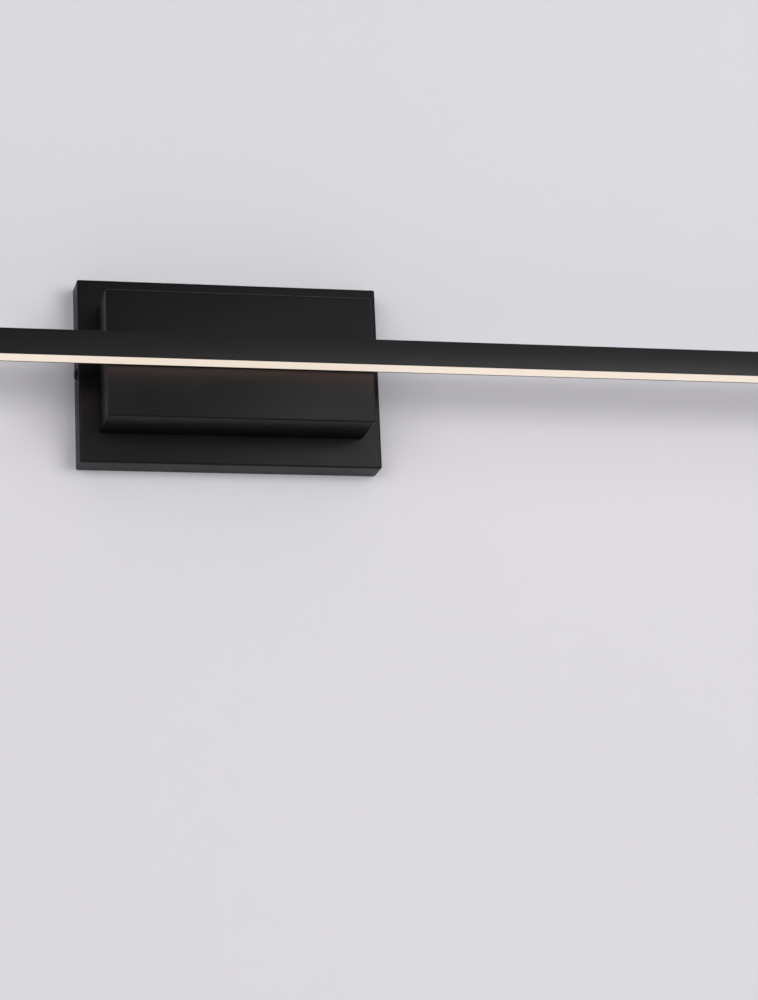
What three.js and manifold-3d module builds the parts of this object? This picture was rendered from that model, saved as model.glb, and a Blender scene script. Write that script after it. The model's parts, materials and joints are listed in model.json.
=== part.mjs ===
// A wall light for over a vanity mirror: a slim LED bar held off the wall by a box on a backplate.
// Millimetres. +X runs along the bar to the right, +Y points into the wall and +Z is up.
// The origin is on the wall, behind the centre of the backplate.

import * as THREE from 'three';
import { mergeVertices } from 'three/addons/utils/BufferGeometryUtils.js';
import Module from 'manifold-3d';

const wasm = await Module();
wasm.setup();

// ---- Driving dimensions -------------------------------------------------------------------------

const GAP = 0.3; // between faces that touch on the real object
const PLAY = 0.3; // round a shank, a wire or a neck in its hole

// Backplate: a folded steel pan, open towards the wall
const PLATE_WIDTH = 205;
const PLATE_HEIGHT = 127;
const PLATE_DEPTH = 20.5;
const PLATE_WALL = 1.5;
const PLATE_CORNER = 1.2;

// Driver housing: a folded steel box on the front of the backplate, open at its back
const SIDE_BORDER = 13; // of the backplate, left and right of the housing
const TOP_BORDER = 20; // of the backplate, above and below the housing
const HOUSING_DEPTH = 40.5;
const HOUSING_WALL = 1.5;
const HOUSING_CORNER = 1.5;
const TAB_WIDTH = 16; // tabs folded inwards, which take the housing screws
const TAB_REACH = 11;
const TAB_INSET = 8; // from the housing's inner side face to a tab

// Bar: an aluminium extrusion with a closed wire channel on top, open underneath
const BAR_LENGTH = 914;
const BAR_HEIGHT = 17.4;
const BAR_DEPTH = 17.2;
const BAR_WALL = 1.2;
const BAR_RIM = 0.8; // wall beside the lens
const BAR_CORNER = 0.5;
const WIRE_CHANNEL_HEIGHT = 7.2;
const SCREW_PORT_WALL = 1;
const SCREW_PORT_DROP = 0.3; // from the roof of the wire channel to the hole
const SNAP_RIDGE_REACH = 0.5;
const SNAP_RIDGE_HEIGHT = 0.6;
const SNAP_RIDGE_RISE = 1.1; // from the lens strip up to the ridge

// Lens: an opal strip with two barbed snap legs
const LENS_THICKNESS = 1.2;
const LENS_RECESS = 0.1;
const LENS_LEG = 0.9;
const LENS_BARB = 0.6;

// LED boards, under the web of the bar
const BOARD_COUNT = 3;
const BOARD_WIDTH = 10.8;
const BOARD_THICKNESS = 1;
const BOARD_END_MARGIN = 6;
const BOARD_SPACING = 1.5;
const TAPE_WIDTH = 9;
const TAPE_THICKNESS = 0.4;
const LED_PITCH = 15;
const LED_SIZE = 2.8;
const LED_HEIGHT = 0.7;
const CONNECTOR_LENGTH = 8;
const CONNECTOR_WIDTH = 9;
const CONNECTOR_HEIGHT = 1;

// End caps
const CAP_THICKNESS = 2;
const SPIGOT_LENGTH = 5;
const SPIGOT_HEIGHT = 2.2;

// Bracket that the fixture hangs on
const BRACKET_HEIGHT = 38;
const BRACKET_THICKNESS = 1.6;
const BRACKET_SHOULDER = 62; // half length of the full-height middle
const BRACKET_WIRE_HOLE = 22;
const BOX_SCREW_INNER = 66; // least and greatest spacing of the wall box screws it takes
const BOX_SCREW_OUTER = 94;
const BOX_SLOT_WIDTH = 4.6;
const EAR_HEIGHT = 24;
const EAR_PLAY = 0.4; // between an ear and the backplate's side wall
const EAR_CLEARANCE = 3.5; // between an ear and the backplate's front
const EAR_SCREW_EDGE = 5.5; // from the ear's front edge back to the side screw
const GROUND_SCREW_X = -22;
const GROUND_SCREW_Z = 11;

// LED driver: a case that stands in a window of the backplate, on a lid with two ears
const DRIVER_END_ROOM = 32; // from the driver's end to the housing's inner side face
const DRIVER_HEIGHT = 40;
const DRIVER_DEPTH = 25;
const DRIVER_WALL = 1.4;
const DRIVER_LID = 2;
const DRIVER_EAR = 11;
const DRIVER_CORNER = 2;
const DRIVER_WINDOW_PLAY = 1;
const DRIVER_BOARD_THICKNESS = 1.6;
const DRIVER_BOARD_MARGIN = 1;
const DRIVER_BOARD_LIFT = 2; // of the board off the lid, for its solder joints
const TRANSFORMER_SIZE = 19;
const TRANSFORMER_HEIGHT = 15;
const TRANSFORMER_BASE = 3;
const TRANSFORMER_SHOULDER = 4; // of the base beyond the winding, above and below
const CAPACITOR_RADIUS = 5;
const CAPACITOR_HEIGHT = 16;

// Terminal block
const BLOCK_LENGTH = 20;
const BLOCK_DEPTH = 13;
const POLE_COUNT = 3;
const POLE_PITCH = 9;
const POLE_EDGE = 5.5; // from the middle of an end pole to the end of the block
const PORT_DEPTH = 6.5;
const BLOCK_CLEARANCE = 1.5; // above the driver and the bracket
const BLOCK_INSET = 22; // from the housing's inner side face

// Wires and what they pass through
const MAINS_WIRE = 2.2; // diameter
const LED_WIRE = 1.6;
const WIRE_SIDES = 8;
const WIRE_STEP = 1.8; // in diameters
const WIRE_START = 6; // how far inside the driver a wire begins
const WIRE_SPREAD = 6; // between the two wires at a driver's end
const BUSHING_INSET = 11; // from the housing's inner side face
const BUSHING_HOLE = 12;
const BUSHING_WALL = 1.2;
const BUSHING_FLANGE = 1.6;
const BUSHING_REACH = 1.5; // in front of the backplate
const GROMMET_INSET = 16;
const GROMMET_HOLE = 6.6;
const GROMMET_WALL = 0.9;
const GROMMET_FLANGE = 1.2;
const FEED_RUN = 24; // from the grommet along the bar to where the wires drop to the boards
const FEED_WIDTH = 4.6;
const FEED_INSET = 2.8; // of the wires in the channel, from the bar's rear wall
const EARTH_RING_RADIUS = 3.4;
const EARTH_RING_THICKNESS = 0.8;
const EARTH_TONGUE_REACH = 4; // beyond the ring's edge
const EARTH_TONGUE_HALF_WIDTH = 1.5;
const EARTH_INSET = 5;

// Bar fixing
const BAR_SCREW_INSET = 28; // from the housing's inner side face
const NUT_STRIP_EDGE = 7;
const NUT_STRIP_THICKNESS = 3;
const WASHER_RADIUS = 4.2;
const WASHER_THICKNESS = 0.8;

// Screws
const ROUND_SIDES = 16;
const CORNER_SEGMENTS = 2;
const SIDE_SCREW = { head: 4, headHeight: 1.2, shank: 2, length: 8 };
const BAR_SCREW = { head: 3.4, headHeight: 2.4, shank: 1.9, length: 7.4 };
const HOUSING_SCREW = { head: 2.9, headHeight: 2, shank: 1.5, length: 6 };
const DRIVER_SCREW = { head: 2.9, headHeight: 2, shank: 1.5, length: 7 };
const BLOCK_SCREW = { head: 2.6, headHeight: 1.8, shank: 1.3, length: BLOCK_DEPTH + 4 };
const EARTH_SCREW = { head: 2.7, headHeight: 1.8, shank: 1.5, length: 5 };
const GROUND_SCREW = { head: 3.8, headHeight: 2.2, shank: 1.9, length: BRACKET_THICKNESS + GAP };
const CAP_SCREW = { head: 1.7, headHeight: 1, shank: 0.9, length: 9 };

// ---- Places worked out from the sizes -----------------------------------------------------------

const plateFront = -PLATE_DEPTH;
const plateSkin = plateFront + PLATE_WALL; // inner face of the backplate's front
const plateSide = PLATE_WIDTH / 2;

const housingHalfWidth = PLATE_WIDTH / 2 - SIDE_BORDER;
const housingHalfHeight = PLATE_HEIGHT / 2 - TOP_BORDER;
const housingBack = plateFront - GAP;
const housingFront = housingBack - HOUSING_DEPTH;
const housingSkin = housingFront + HOUSING_WALL; // inner face of the housing's front
const housingSide = housingHalfWidth - HOUSING_WALL; // inner side face
const housingCeiling = housingHalfHeight - HOUSING_WALL;
const tabX = housingSide - TAB_INSET - TAB_WIDTH / 2;
const tabZ = housingCeiling - TAB_REACH / 2;

const barBack = housingFront - GAP;
const barMiddle = barBack - BAR_DEPTH / 2;

// In the bar's own frame, whose origin is in the middle of the bar
const barHalfDepth = BAR_DEPTH / 2;
const barInnerDepth = barHalfDepth - BAR_WALL;
const barBottom = -BAR_HEIGHT / 2;
const channelTop = BAR_HEIGHT / 2 - BAR_WALL;
const channelFloor = channelTop - WIRE_CHANNEL_HEIGHT;
const channelMiddle = (channelTop + channelFloor) / 2;
const webUnder = channelFloor - BAR_WALL;
const extrusionHalf = BAR_LENGTH / 2 - CAP_THICKNESS - GAP;
const portRadius = CAP_SCREW.shank + PLAY;
const portHeight = channelTop - SCREW_PORT_DROP - portRadius;
const capSeat = CAP_THICKNESS - CAP_SCREW.headHeight; // under the head of a cap screw, from the cap's back
const rimDepth = barHalfDepth - BAR_RIM;
const lensTop = barBottom + LENS_RECESS + LENS_THICKNESS;
const ridgeFloor = lensTop + SNAP_RIDGE_RISE;
const ridgeTop = ridgeFloor + SNAP_RIDGE_HEIGHT;
const tapeTop = webUnder - GAP;
const boardTop = tapeTop - TAPE_THICKNESS - GAP;
const boardUnder = boardTop - BOARD_THICKNESS;
const boardRoom = 2 * extrusionHalf - 2 * BOARD_END_MARGIN - (BOARD_COUNT - 1) * BOARD_SPACING;
const boardLength = boardRoom / BOARD_COUNT;

const barScrewX = housingSide - BAR_SCREW_INSET;
const grommetX = housingSide - GROMMET_INSET;
const feedX = grommetX + FEED_RUN;
const feedDepth = barInnerDepth - FEED_INSET; // in the bar's own frame

const earOuter = plateSide - PLATE_WALL - EAR_PLAY;
const earReach = PLATE_DEPTH - PLATE_WALL - EAR_CLEARANCE;
const sideScrewY = -(earReach - EAR_SCREW_EDGE);

const driverHalf = housingSide - DRIVER_END_ROOM;
const driverBack = plateSkin + GAP + DRIVER_LID;
const driverLidFront = driverBack - DRIVER_LID;
const driverCaseBack = driverLidFront - GAP;
const driverFront = driverBack - DRIVER_DEPTH;
const driverScrewX = driverHalf + DRIVER_EAR / 2;
const driverBoardBack = driverCaseBack - DRIVER_BOARD_LIFT;
const driverBoardFront = driverBoardBack - DRIVER_BOARD_THICKNESS;
const driverWireY = (driverCaseBack + driverFront) / 2;

const bushingX = -(housingSide - BUSHING_INSET);
const blockLeft = -(housingSide - BLOCK_INSET);
const blockRight = blockLeft + BLOCK_LENGTH;
const blockFloor = Math.max(DRIVER_HEIGHT, BRACKET_HEIGHT) / 2 + BLOCK_CLEARANCE;
const blockFront = plateSkin + GAP;
const blockBack = blockFront + BLOCK_DEPTH;
const portY = (blockFront + blockBack) / 2;
const poleZ = Array.from({ length: POLE_COUNT }, (_, i) => blockFloor + POLE_EDGE + i * POLE_PITCH);
const blockTop = poleZ[POLE_COUNT - 1] + POLE_EDGE;
const blockScrewX = (blockLeft + blockRight) / 2;
const blockScrewZ = (poleZ[0] + poleZ[1]) / 2;
const earthX = -(housingSide - EARTH_INSET);
const earthZ = poleZ[0];

// ---- Solids -------------------------------------------------------------------------------------

// A closed geometry as a solid that can be joined and cut
function solidOf(geometry) {
  const bare = geometry.clone();
  bare.deleteAttribute('normal');
  bare.deleteAttribute('uv');
  const welded = mergeVertices(bare);
  const corners = welded.index.array;
  const kept = [];
  for (let i = 0; i < corners.length; i += 3) {
    const [a, b, c] = corners.slice(i, i + 3);
    if (a !== b && b !== c && c !== a) kept.push(a, b, c);
  }
  return new wasm.Manifold(new wasm.Mesh({
    numProp: 3,
    vertProperties: new Float32Array(welded.attributes.position.array),
    triVerts: new Uint32Array(kept),
  }));
}

function geometryOf(solid) {
  const mesh = solid.getMesh();
  const geometry = new THREE.BufferGeometry();
  geometry.setAttribute('position', new THREE.BufferAttribute(mesh.vertProperties, 3));
  geometry.setIndex(new THREE.BufferAttribute(mesh.triVerts, 1));
  const faceted = geometry.toNonIndexed();
  faceted.computeVertexNormals();
  return faceted;
}

function block([x0, x1], [y0, y1], [z0, z1]) {
  const geometry = new THREE.BoxGeometry(x1 - x0, y1 - y0, z1 - z0);
  geometry.translate((x0 + x1) / 2, (y0 + y1) / 2, (z0 + z1) / 2);
  return solidOf(geometry);
}

// A round rod along Y, between two depths, at a place seen from the front
function rodY(radius, [y0, y1], x, z, sides = ROUND_SIDES) {
  const geometry = new THREE.CylinderGeometry(radius, radius, y1 - y0, sides);
  geometry.translate(x, (y0 + y1) / 2, z);
  return solidOf(geometry);
}

function rodX(radius, [x0, x1], y, z, sides = ROUND_SIDES) {
  const geometry = new THREE.CylinderGeometry(radius, radius, x1 - x0, sides);
  geometry.rotateZ(Math.PI / 2);
  geometry.translate((x0 + x1) / 2, y, z);
  return solidOf(geometry);
}

function roundedRectangle(halfWidth, halfHeight, radius) {
  const shape = new THREE.Shape();
  shape.absarc(halfWidth - radius, halfHeight - radius, radius, 0, Math.PI / 2);
  shape.absarc(radius - halfWidth, halfHeight - radius, radius, Math.PI / 2, Math.PI);
  shape.absarc(radius - halfWidth, radius - halfHeight, radius, Math.PI, 1.5 * Math.PI);
  shape.absarc(halfWidth - radius, radius - halfHeight, radius, 1.5 * Math.PI, 2 * Math.PI);
  return shape;
}

// An outline seen from the front, from a back face towards the room
function extrudeForward(shape, back, depth) {
  const settings = { depth, bevelEnabled: false, curveSegments: CORNER_SEGMENTS };
  const geometry = new THREE.ExtrudeGeometry(shape, settings);
  geometry.rotateX(Math.PI / 2);
  geometry.translate(0, back, 0);
  return solidOf(geometry);
}

// A section drawn in Y and Z, along the bar
function extrudeAlong(shape, [x0, x1]) {
  const settings = { depth: x1 - x0, bevelEnabled: false, curveSegments: CORNER_SEGMENTS };
  const geometry = new THREE.ExtrudeGeometry(shape, settings);
  const yAxis = new THREE.Vector3(0, 1, 0);
  const zAxis = new THREE.Vector3(0, 0, 1);
  const xAxis = new THREE.Vector3(1, 0, 0);
  geometry.applyMatrix4(new THREE.Matrix4().makeBasis(yAxis, zAxis, xAxis));
  geometry.translate(x0, 0, 0);
  return solidOf(geometry);
}

function polygon(points) {
  return new THREE.Shape(points.map(([u, v]) => new THREE.Vector2(u, v)));
}

// A turned piece about the Y axis; the profile is a list of radius and height
function turned(profile, sides = ROUND_SIDES) {
  return new THREE.LatheGeometry(profile.map(([r, y]) => new THREE.Vector2(r, y)), sides);
}

// A pan-head screw with a cross recess: it lies on the Y axis with the shank towards +Y,
// and its origin is in the plane under its head
function screwGeometry({ head, headHeight, shank, length }) {
  const chamfer = shank / 3;
  const body = turned([
    [0, -headHeight],
    [head * 0.72, -headHeight],
    [head, -headHeight * 0.45],
    [head, 0],
    [shank, 0],
    [shank, length - chamfer],
    [shank - chamfer, length],
    [0, length],
  ]);
  const slotLong = head * 0.5;
  const slotShort = head * 0.13;
  const slotDepth = [-headHeight - 1, -headHeight * 0.4];
  const cross = block([-slotLong, slotLong], slotDepth, [-slotShort, slotShort])
    .add(block([-slotShort, slotShort], slotDepth, [-slotLong, slotLong]));
  return geometryOf(solidOf(body).subtract(cross));
}

function ringGeometry(inner, outer, [y0, y1]) {
  return turned([[inner, y0], [outer, y0], [outer, y1], [inner, y1], [inner, y0]]);
}

// A flanged sleeve in a hole: the flange is at its +Y end
function sleeveGeometry(hole, wall, flange, [y0, flangeFloor, flangeTop]) {
  const outer = hole / 2 - PLAY;
  const inner = outer - wall;
  const rim = hole / 2 + flange;
  return turned([
    [inner, y0],
    [outer, y0],
    [outer, flangeFloor],
    [rim, flangeFloor],
    [rim, flangeTop],
    [inner, flangeTop],
    [inner, y0],
  ]);
}

function wireGeometry(places, diameter) {
  const points = places.map((place) => new THREE.Vector3(...place));
  const route = new THREE.CatmullRomCurve3(points, false, 'centripetal');
  const corners = Array.from({ length: WIRE_SIDES }, (_, i) => {
    const angle = (2 * Math.PI * i) / WIRE_SIDES;
    return [Math.cos(angle) * diameter / 2, Math.sin(angle) * diameter / 2];
  });
  const steps = Math.ceil(route.getLength() / (WIRE_STEP * diameter));
  const settings = { steps, bevelEnabled: false, extrudePath: route };
  return new THREE.ExtrudeGeometry(polygon(corners), settings);
}

// ---- Materials ----------------------------------------------------------------------------------

function finish(color, roughness, metalness) {
  return () => new THREE.MeshStandardMaterial({ color, roughness, metalness });
}

const blackCoat = finish(0x29292b, 0.5, 0.2);
const zincSteel = finish(0xa9adb0, 0.4, 0.9);
const screwSteel = finish(0xb7babd, 0.35, 0.9);
const greenSteel = finish(0x2f7a45, 0.45, 0.6);
const aluminium = finish(0xc3c5c7, 0.35, 0.9);
const opal = finish(0xf8ead9, 0.4, 0);
const whitePlastic = finish(0xe9e8e3, 0.5, 0);
const blackRubber = finish(0x1b1b1c, 0.8, 0);
const driverPlastic = finish(0xd8d9d6, 0.5, 0);
const boardGreen = finish(0x2c5d3c, 0.5, 0);
const boardWhite = finish(0xeeeeea, 0.4, 0);
const tapeGrey = finish(0x8d9194, 0.8, 0);
const insulation = {
  black: finish(0x18181a, 0.5, 0),
  white: finish(0xe8e8e4, 0.5, 0),
  green: finish(0x2b8a3f, 0.5, 0),
  red: finish(0xb3241f, 0.5, 0),
};
const copperYellow = finish(0xc9a13b, 0.4, 0.7);

function piece(name, geometry, material) {
  const mesh = new THREE.Mesh(geometry, material());
  mesh.name = name;
  return mesh;
}

// ---- On the wall: bracket and screws ------------------------------------------------------------

function mountingBracket() {
  const neck = earOuter;
  const half = BRACKET_HEIGHT / 2;
  const ear = EAR_HEIGHT / 2;
  const slope = half - ear;
  const outline = polygon([
    [neck, -ear], [neck, ear], [BRACKET_SHOULDER + slope, ear], [BRACKET_SHOULDER, half],
    [-BRACKET_SHOULDER, half], [-BRACKET_SHOULDER - slope, ear], [-neck, ear],
    [-neck, -ear], [-BRACKET_SHOULDER - slope, -ear], [-BRACKET_SHOULDER, -half],
    [BRACKET_SHOULDER, -half], [BRACKET_SHOULDER + slope, -ear],
  ]);
  const through = [-BRACKET_THICKNESS - 1, 1];
  let strip = extrudeForward(outline, 0, BRACKET_THICKNESS)
    .subtract(rodY(BRACKET_WIRE_HOLE / 2, through, 0, 0, 24))
    .subtract(rodY(GROUND_SCREW.shank + PLAY, through, GROUND_SCREW_X, GROUND_SCREW_Z));
  for (const side of [-1, 1]) {
    const ends = [side * BOX_SCREW_INNER / 2, side * BOX_SCREW_OUTER / 2].sort((a, b) => a - b);
    const slot = BOX_SLOT_WIDTH / 2;
    const wall = [side * (earOuter - BRACKET_THICKNESS), side * earOuter].sort((a, b) => a - b);
    const across = [wall[0] - 1, wall[1] + 1];
    strip = strip
      .subtract(block(ends, through, [-slot, slot]))
      .subtract(rodY(slot, through, ends[0], 0))
      .subtract(rodY(slot, through, ends[1], 0))
      .add(block(wall, [-earReach, 0], [-ear, ear]))
      .subtract(rodX(SIDE_SCREW.shank + PLAY, across, sideScrewY, 0));
  }
  return piece('mounting_bracket', geometryOf(strip), zincSteel);
}

function sideScrew(name, side) {
  const screw = piece(name, screwGeometry(SIDE_SCREW), blackCoat);
  screw.rotation.z = side * Math.PI / 2;
  screw.position.set(side * (plateSide + GAP), sideScrewY, 0);
  return screw;
}

function groundScrew() {
  const screw = piece('ground_screw', screwGeometry(GROUND_SCREW), greenSteel);
  screw.position.set(GROUND_SCREW_X, -BRACKET_THICKNESS - GAP, GROUND_SCREW_Z);
  return screw;
}

// ---- Backplate and housing ----------------------------------------------------------------------

function corners(x, z) {
  return [[-x, z], [x, z], [-x, -z], [x, -z]];
}

function backplate() {
  const across = [plateFront - 1, plateSkin + 1];
  const inner = [plateSide - PLATE_WALL, PLATE_HEIGHT / 2 - PLATE_WALL];
  const window = [driverHalf + DRIVER_WINDOW_PLAY, DRIVER_HEIGHT / 2 + DRIVER_WINDOW_PLAY];
  const outline = roundedRectangle(plateSide, PLATE_HEIGHT / 2, PLATE_CORNER);
  let pan = extrudeForward(outline, 0, PLATE_DEPTH)
    .subtract(block([-inner[0], inner[0]], [plateSkin, 1], [-inner[1], inner[1]]))
    .subtract(block([-window[0], window[0]], across, [-window[1], window[1]]))
    .subtract(rodY(BUSHING_HOLE / 2, across, bushingX, 0, 24))
    .subtract(rodY(BLOCK_SCREW.shank + PLAY, across, blockScrewX, blockScrewZ))
    .subtract(rodY(EARTH_SCREW.shank + PLAY, across, earthX, earthZ));
  for (const [x, z] of corners(tabX, tabZ)) {
    pan = pan.subtract(rodY(HOUSING_SCREW.shank + PLAY, across, x, z));
  }
  const slot = SIDE_SCREW.shank + PLAY;
  for (const side of [-1, 1]) {
    const wall = [side * plateSide - PLATE_WALL - 1, side * plateSide + PLATE_WALL + 1];
    pan = pan
      .subtract(rodY(DRIVER_SCREW.shank + PLAY, across, side * driverScrewX, 0))
      .subtract(block(wall, [sideScrewY, 1], [-slot, slot]))
      .subtract(rodX(slot, wall, sideScrewY, 0));
  }
  return piece('backplate', geometryOf(pan), blackCoat);
}

function driverHousing() {
  const outline = roundedRectangle(housingHalfWidth, housingHalfHeight, HOUSING_CORNER);
  const across = [housingFront - 1, housingSkin + 1];
  let box = extrudeForward(outline, housingBack, HOUSING_DEPTH)
    .subtract(block(
      [-housingSide, housingSide],
      [housingSkin, housingBack + 1],
      [-housingCeiling, housingCeiling],
    ))
    .subtract(rodY(GROMMET_HOLE / 2, across, grommetX, channelMiddle));
  for (const side of [-1, 1]) {
    box = box.subtract(rodY(BAR_SCREW.shank + PLAY, across, side * barScrewX, channelMiddle));
  }
  const tabDepth = [housingBack - HOUSING_WALL, housingBack];
  const tabReach = (TAB_REACH + HOUSING_WALL) / 2;
  for (const [x, z] of corners(tabX, tabZ)) {
    const middle = z + Math.sign(z) * HOUSING_WALL / 2;
    const tabSides = [x - TAB_WIDTH / 2, x + TAB_WIDTH / 2];
    box = box
      .add(block(tabSides, tabDepth, [middle - tabReach, middle + tabReach]))
      .subtract(rodY(HOUSING_SCREW.shank + PLAY, [tabDepth[0] - 1, tabDepth[1] + 1], x, z));
  }
  return piece('driver_housing', geometryOf(box), blackCoat);
}

function housingScrews() {
  const names = ['upper_left', 'upper_right', 'lower_left', 'lower_right'];
  return corners(tabX, tabZ).map(([x, z], i) => {
    const screw = piece(`housing_screw_${names[i]}`, screwGeometry(HOUSING_SCREW), screwSteel);
    screw.rotation.z = Math.PI;
    screw.position.set(x, plateSkin + GAP, z);
    return screw;
  });
}

// ---- LED driver ---------------------------------------------------------------------------------

function driverParts() {
  const half = DRIVER_HEIGHT / 2;
  const outline = roundedRectangle(driverHalf, half, DRIVER_CORNER);
  const hollow = [driverHalf - DRIVER_WALL, half - DRIVER_WALL];
  let shell = extrudeForward(outline, driverCaseBack, driverCaseBack - driverFront)
    .subtract(block(
      [-hollow[0], hollow[0]],
      [driverFront + DRIVER_WALL, driverCaseBack + 1],
      [-hollow[1], hollow[1]],
    ));
  const wires = [[-1, MAINS_WIRE], [1, LED_WIRE]];
  for (const [side, diameter] of wires) {
    const wall = [side * driverHalf - DRIVER_WALL - 1, side * driverHalf + DRIVER_WALL + 1];
    for (const z of [-WIRE_SPREAD / 2, WIRE_SPREAD / 2]) {
      shell = shell.subtract(rodX(diameter / 2 + PLAY, wall, driverWireY, z));
    }
  }

  const lidHalf = driverHalf + DRIVER_EAR;
  let lid = extrudeForward(roundedRectangle(lidHalf, half, DRIVER_CORNER), driverBack, DRIVER_LID);
  for (const side of [-1, 1]) {
    const through = [driverLidFront - 1, driverBack + 1];
    lid = lid.subtract(rodY(DRIVER_SCREW.shank + PLAY, through, side * driverScrewX, 0));
  }

  const boardHalf = hollow[0] - DRIVER_BOARD_MARGIN;
  const boardHeight = hollow[1] - DRIVER_BOARD_MARGIN;
  const boardDepth = [driverBoardFront, driverBoardBack];
  const board = block([-boardHalf, boardHalf], boardDepth, [-boardHeight, boardHeight]);
  return [
    piece('driver_case', geometryOf(shell), driverPlastic),
    piece('driver_lid', geometryOf(lid), driverPlastic),
    piece('driver_board', geometryOf(board), boardGreen),
    ...driverComponents(driverBoardFront - GAP),
  ];
}

// The two large parts on the driver's board: a transformer with its windings between two flanges
// of its base, and a capacitor can
function driverComponents(foot) {
  const core = TRANSFORMER_SIZE / 2;
  const winding = core - TRANSFORMER_SHOULDER;
  const top = foot - TRANSFORMER_HEIGHT;
  const transformer = block([-core, core], [foot - TRANSFORMER_BASE, foot], [-core, core])
    .add(block([-core, core], [top, foot], [-winding, winding]));
  const can = piece(
    'driver_capacitor',
    new THREE.CylinderGeometry(CAPACITOR_RADIUS, CAPACITOR_RADIUS, CAPACITOR_HEIGHT, ROUND_SIDES),
    aluminium,
  );
  can.position.set((driverHalf + core) / 2, foot - CAPACITOR_HEIGHT / 2, -CAPACITOR_RADIUS);
  return [piece('driver_transformer', geometryOf(transformer), copperYellow), can];
}

function driverScrews() {
  return [-1, 1].map((side) => {
    const name = side < 0 ? 'driver_screw_left' : 'driver_screw_right';
    const screw = piece(name, screwGeometry(DRIVER_SCREW), screwSteel);
    screw.rotation.z = Math.PI;
    screw.position.set(side * driverScrewX, driverBack + GAP, 0);
    return screw;
  });
}

// ---- Terminal block, wires and what they pass through -------------------------------------------

function terminalBlock() {
  let body = block([blockLeft, blockRight], [blockFront, blockBack], [blockFloor, blockTop])
    .subtract(rodY(BLOCK_SCREW.shank + PLAY, [blockFront - 1, blockBack + 1], blockScrewX, blockScrewZ));
  for (const z of poleZ) {
    body = body
      .subtract(rodX(MAINS_WIRE / 2 + PLAY, [blockLeft - 1, blockLeft + PORT_DEPTH], portY, z))
      .subtract(rodX(MAINS_WIRE / 2 + PLAY, [blockRight - PORT_DEPTH, blockRight + 1], portY, z));
  }
  return piece('terminal_block', geometryOf(body), whitePlastic);
}

function terminalScrew() {
  const screw = piece('terminal_screw', screwGeometry(BLOCK_SCREW), screwSteel);
  screw.rotation.z = Math.PI;
  screw.position.set(blockScrewX, blockBack + GAP, blockScrewZ);
  return screw;
}

function earthParts() {
  const ringBack = plateSkin + GAP + EARTH_RING_THICKNESS;
  const depth = [plateSkin + GAP, ringBack];
  const tongue = [earthX, earthX + EARTH_RING_RADIUS + EARTH_TONGUE_REACH];
  const tongueSides = [earthZ - EARTH_TONGUE_HALF_WIDTH, earthZ + EARTH_TONGUE_HALF_WIDTH];
  const ring = rodY(EARTH_RING_RADIUS, depth, earthX, earthZ)
    .add(block(tongue, depth, tongueSides))
    .subtract(rodY(EARTH_SCREW.shank + PLAY, [depth[0] - 1, depth[1] + 1], earthX, earthZ));
  const screw = piece('earth_screw', screwGeometry(EARTH_SCREW), screwSteel);
  screw.rotation.z = Math.PI;
  screw.position.set(earthX, ringBack + GAP, earthZ);

  const wireY = ringBack + GAP + MAINS_WIRE / 2;
  const start = earthX + EARTH_SCREW.head + 1;
  const wire = wireGeometry([
    [start, wireY, earthZ],
    [start + 3, wireY, earthZ],
    [blockLeft - 7, wireY, earthZ],
    [blockLeft - 2, portY, earthZ],
    [blockLeft, portY, earthZ],
    [blockLeft + PORT_DEPTH - 1, portY, earthZ],
  ], MAINS_WIRE);
  return [
    piece('earth_ring', geometryOf(ring), zincSteel),
    screw,
    piece('earth_wire', wire, insulation.green),
  ];
}

// Live and neutral go from the driver's left end, through the bushing, to the terminal block.
// They pass the bushing one above the other, and climb one behind the other.
function mainsWire(name, material, side, climbY, pole) {
  const startZ = side * WIRE_SPREAD / 2;
  const bushingZ = side * (MAINS_WIRE / 2 + GAP);
  const endZ = poleZ[pole];
  const wire = wireGeometry([
    [-driverHalf + WIRE_START, driverWireY, startZ],
    [-driverHalf - 2, driverWireY, startZ],
    [bushingX + 6, driverWireY + 1, (startZ + bushingZ) / 2],
    [bushingX, (driverWireY + plateFront) / 2, bushingZ],
    [bushingX, plateFront, bushingZ],
    [bushingX, plateSkin + 1, bushingZ],
    [bushingX, climbY, bushingZ + 6],
    [bushingX, climbY, (bushingZ + endZ) / 2 + 3],
    [bushingX + 1, (climbY + portY) / 2, endZ - 3],
    [bushingX + 5, portY, endZ],
    [blockLeft, portY, endZ],
    [blockLeft + PORT_DEPTH - 1, portY, endZ],
  ], MAINS_WIRE);
  return piece(name, wire, material);
}

// The LED wires go from the driver's right end, through the grommet into the bar's wire channel,
// and down through the web to the middle board
function ledWire(name, material, side) {
  const startZ = side * WIRE_SPREAD / 2;
  const offset = side * (LED_WIRE / 2 + GAP / 2);
  const runZ = channelMiddle + offset;
  const runY = barMiddle + feedDepth;
  const dropX = feedX + offset;
  const wire = wireGeometry([
    [driverHalf - WIRE_START, driverWireY, startZ],
    [driverHalf + 3, driverWireY, startZ],
    [grommetX - 3, driverWireY - 5, (startZ + runZ) / 2],
    [grommetX, driverWireY - 12, runZ],
    [grommetX, housingSkin + 3, runZ],
    [grommetX, barBack - BAR_WALL, runZ],
    [grommetX + 3.5, runY, runZ],
    [grommetX + 8, runY, runZ],
    [dropX - 4, runY, runZ],
    [dropX, runY, channelFloor],
    [dropX, runY, boardUnder - LED_HEIGHT],
  ], LED_WIRE);
  return piece(name, wire, material);
}

function wireBushing() {
  const flangeFloor = plateSkin + GAP;
  const span = [plateFront - BUSHING_REACH, flangeFloor, flangeFloor + BUSHING_WALL];
  const sleeve = sleeveGeometry(BUSHING_HOLE, BUSHING_WALL, BUSHING_FLANGE, span);
  const bushing = piece('wire_bushing', sleeve, blackRubber);
  bushing.position.x = bushingX;
  return bushing;
}

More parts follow.
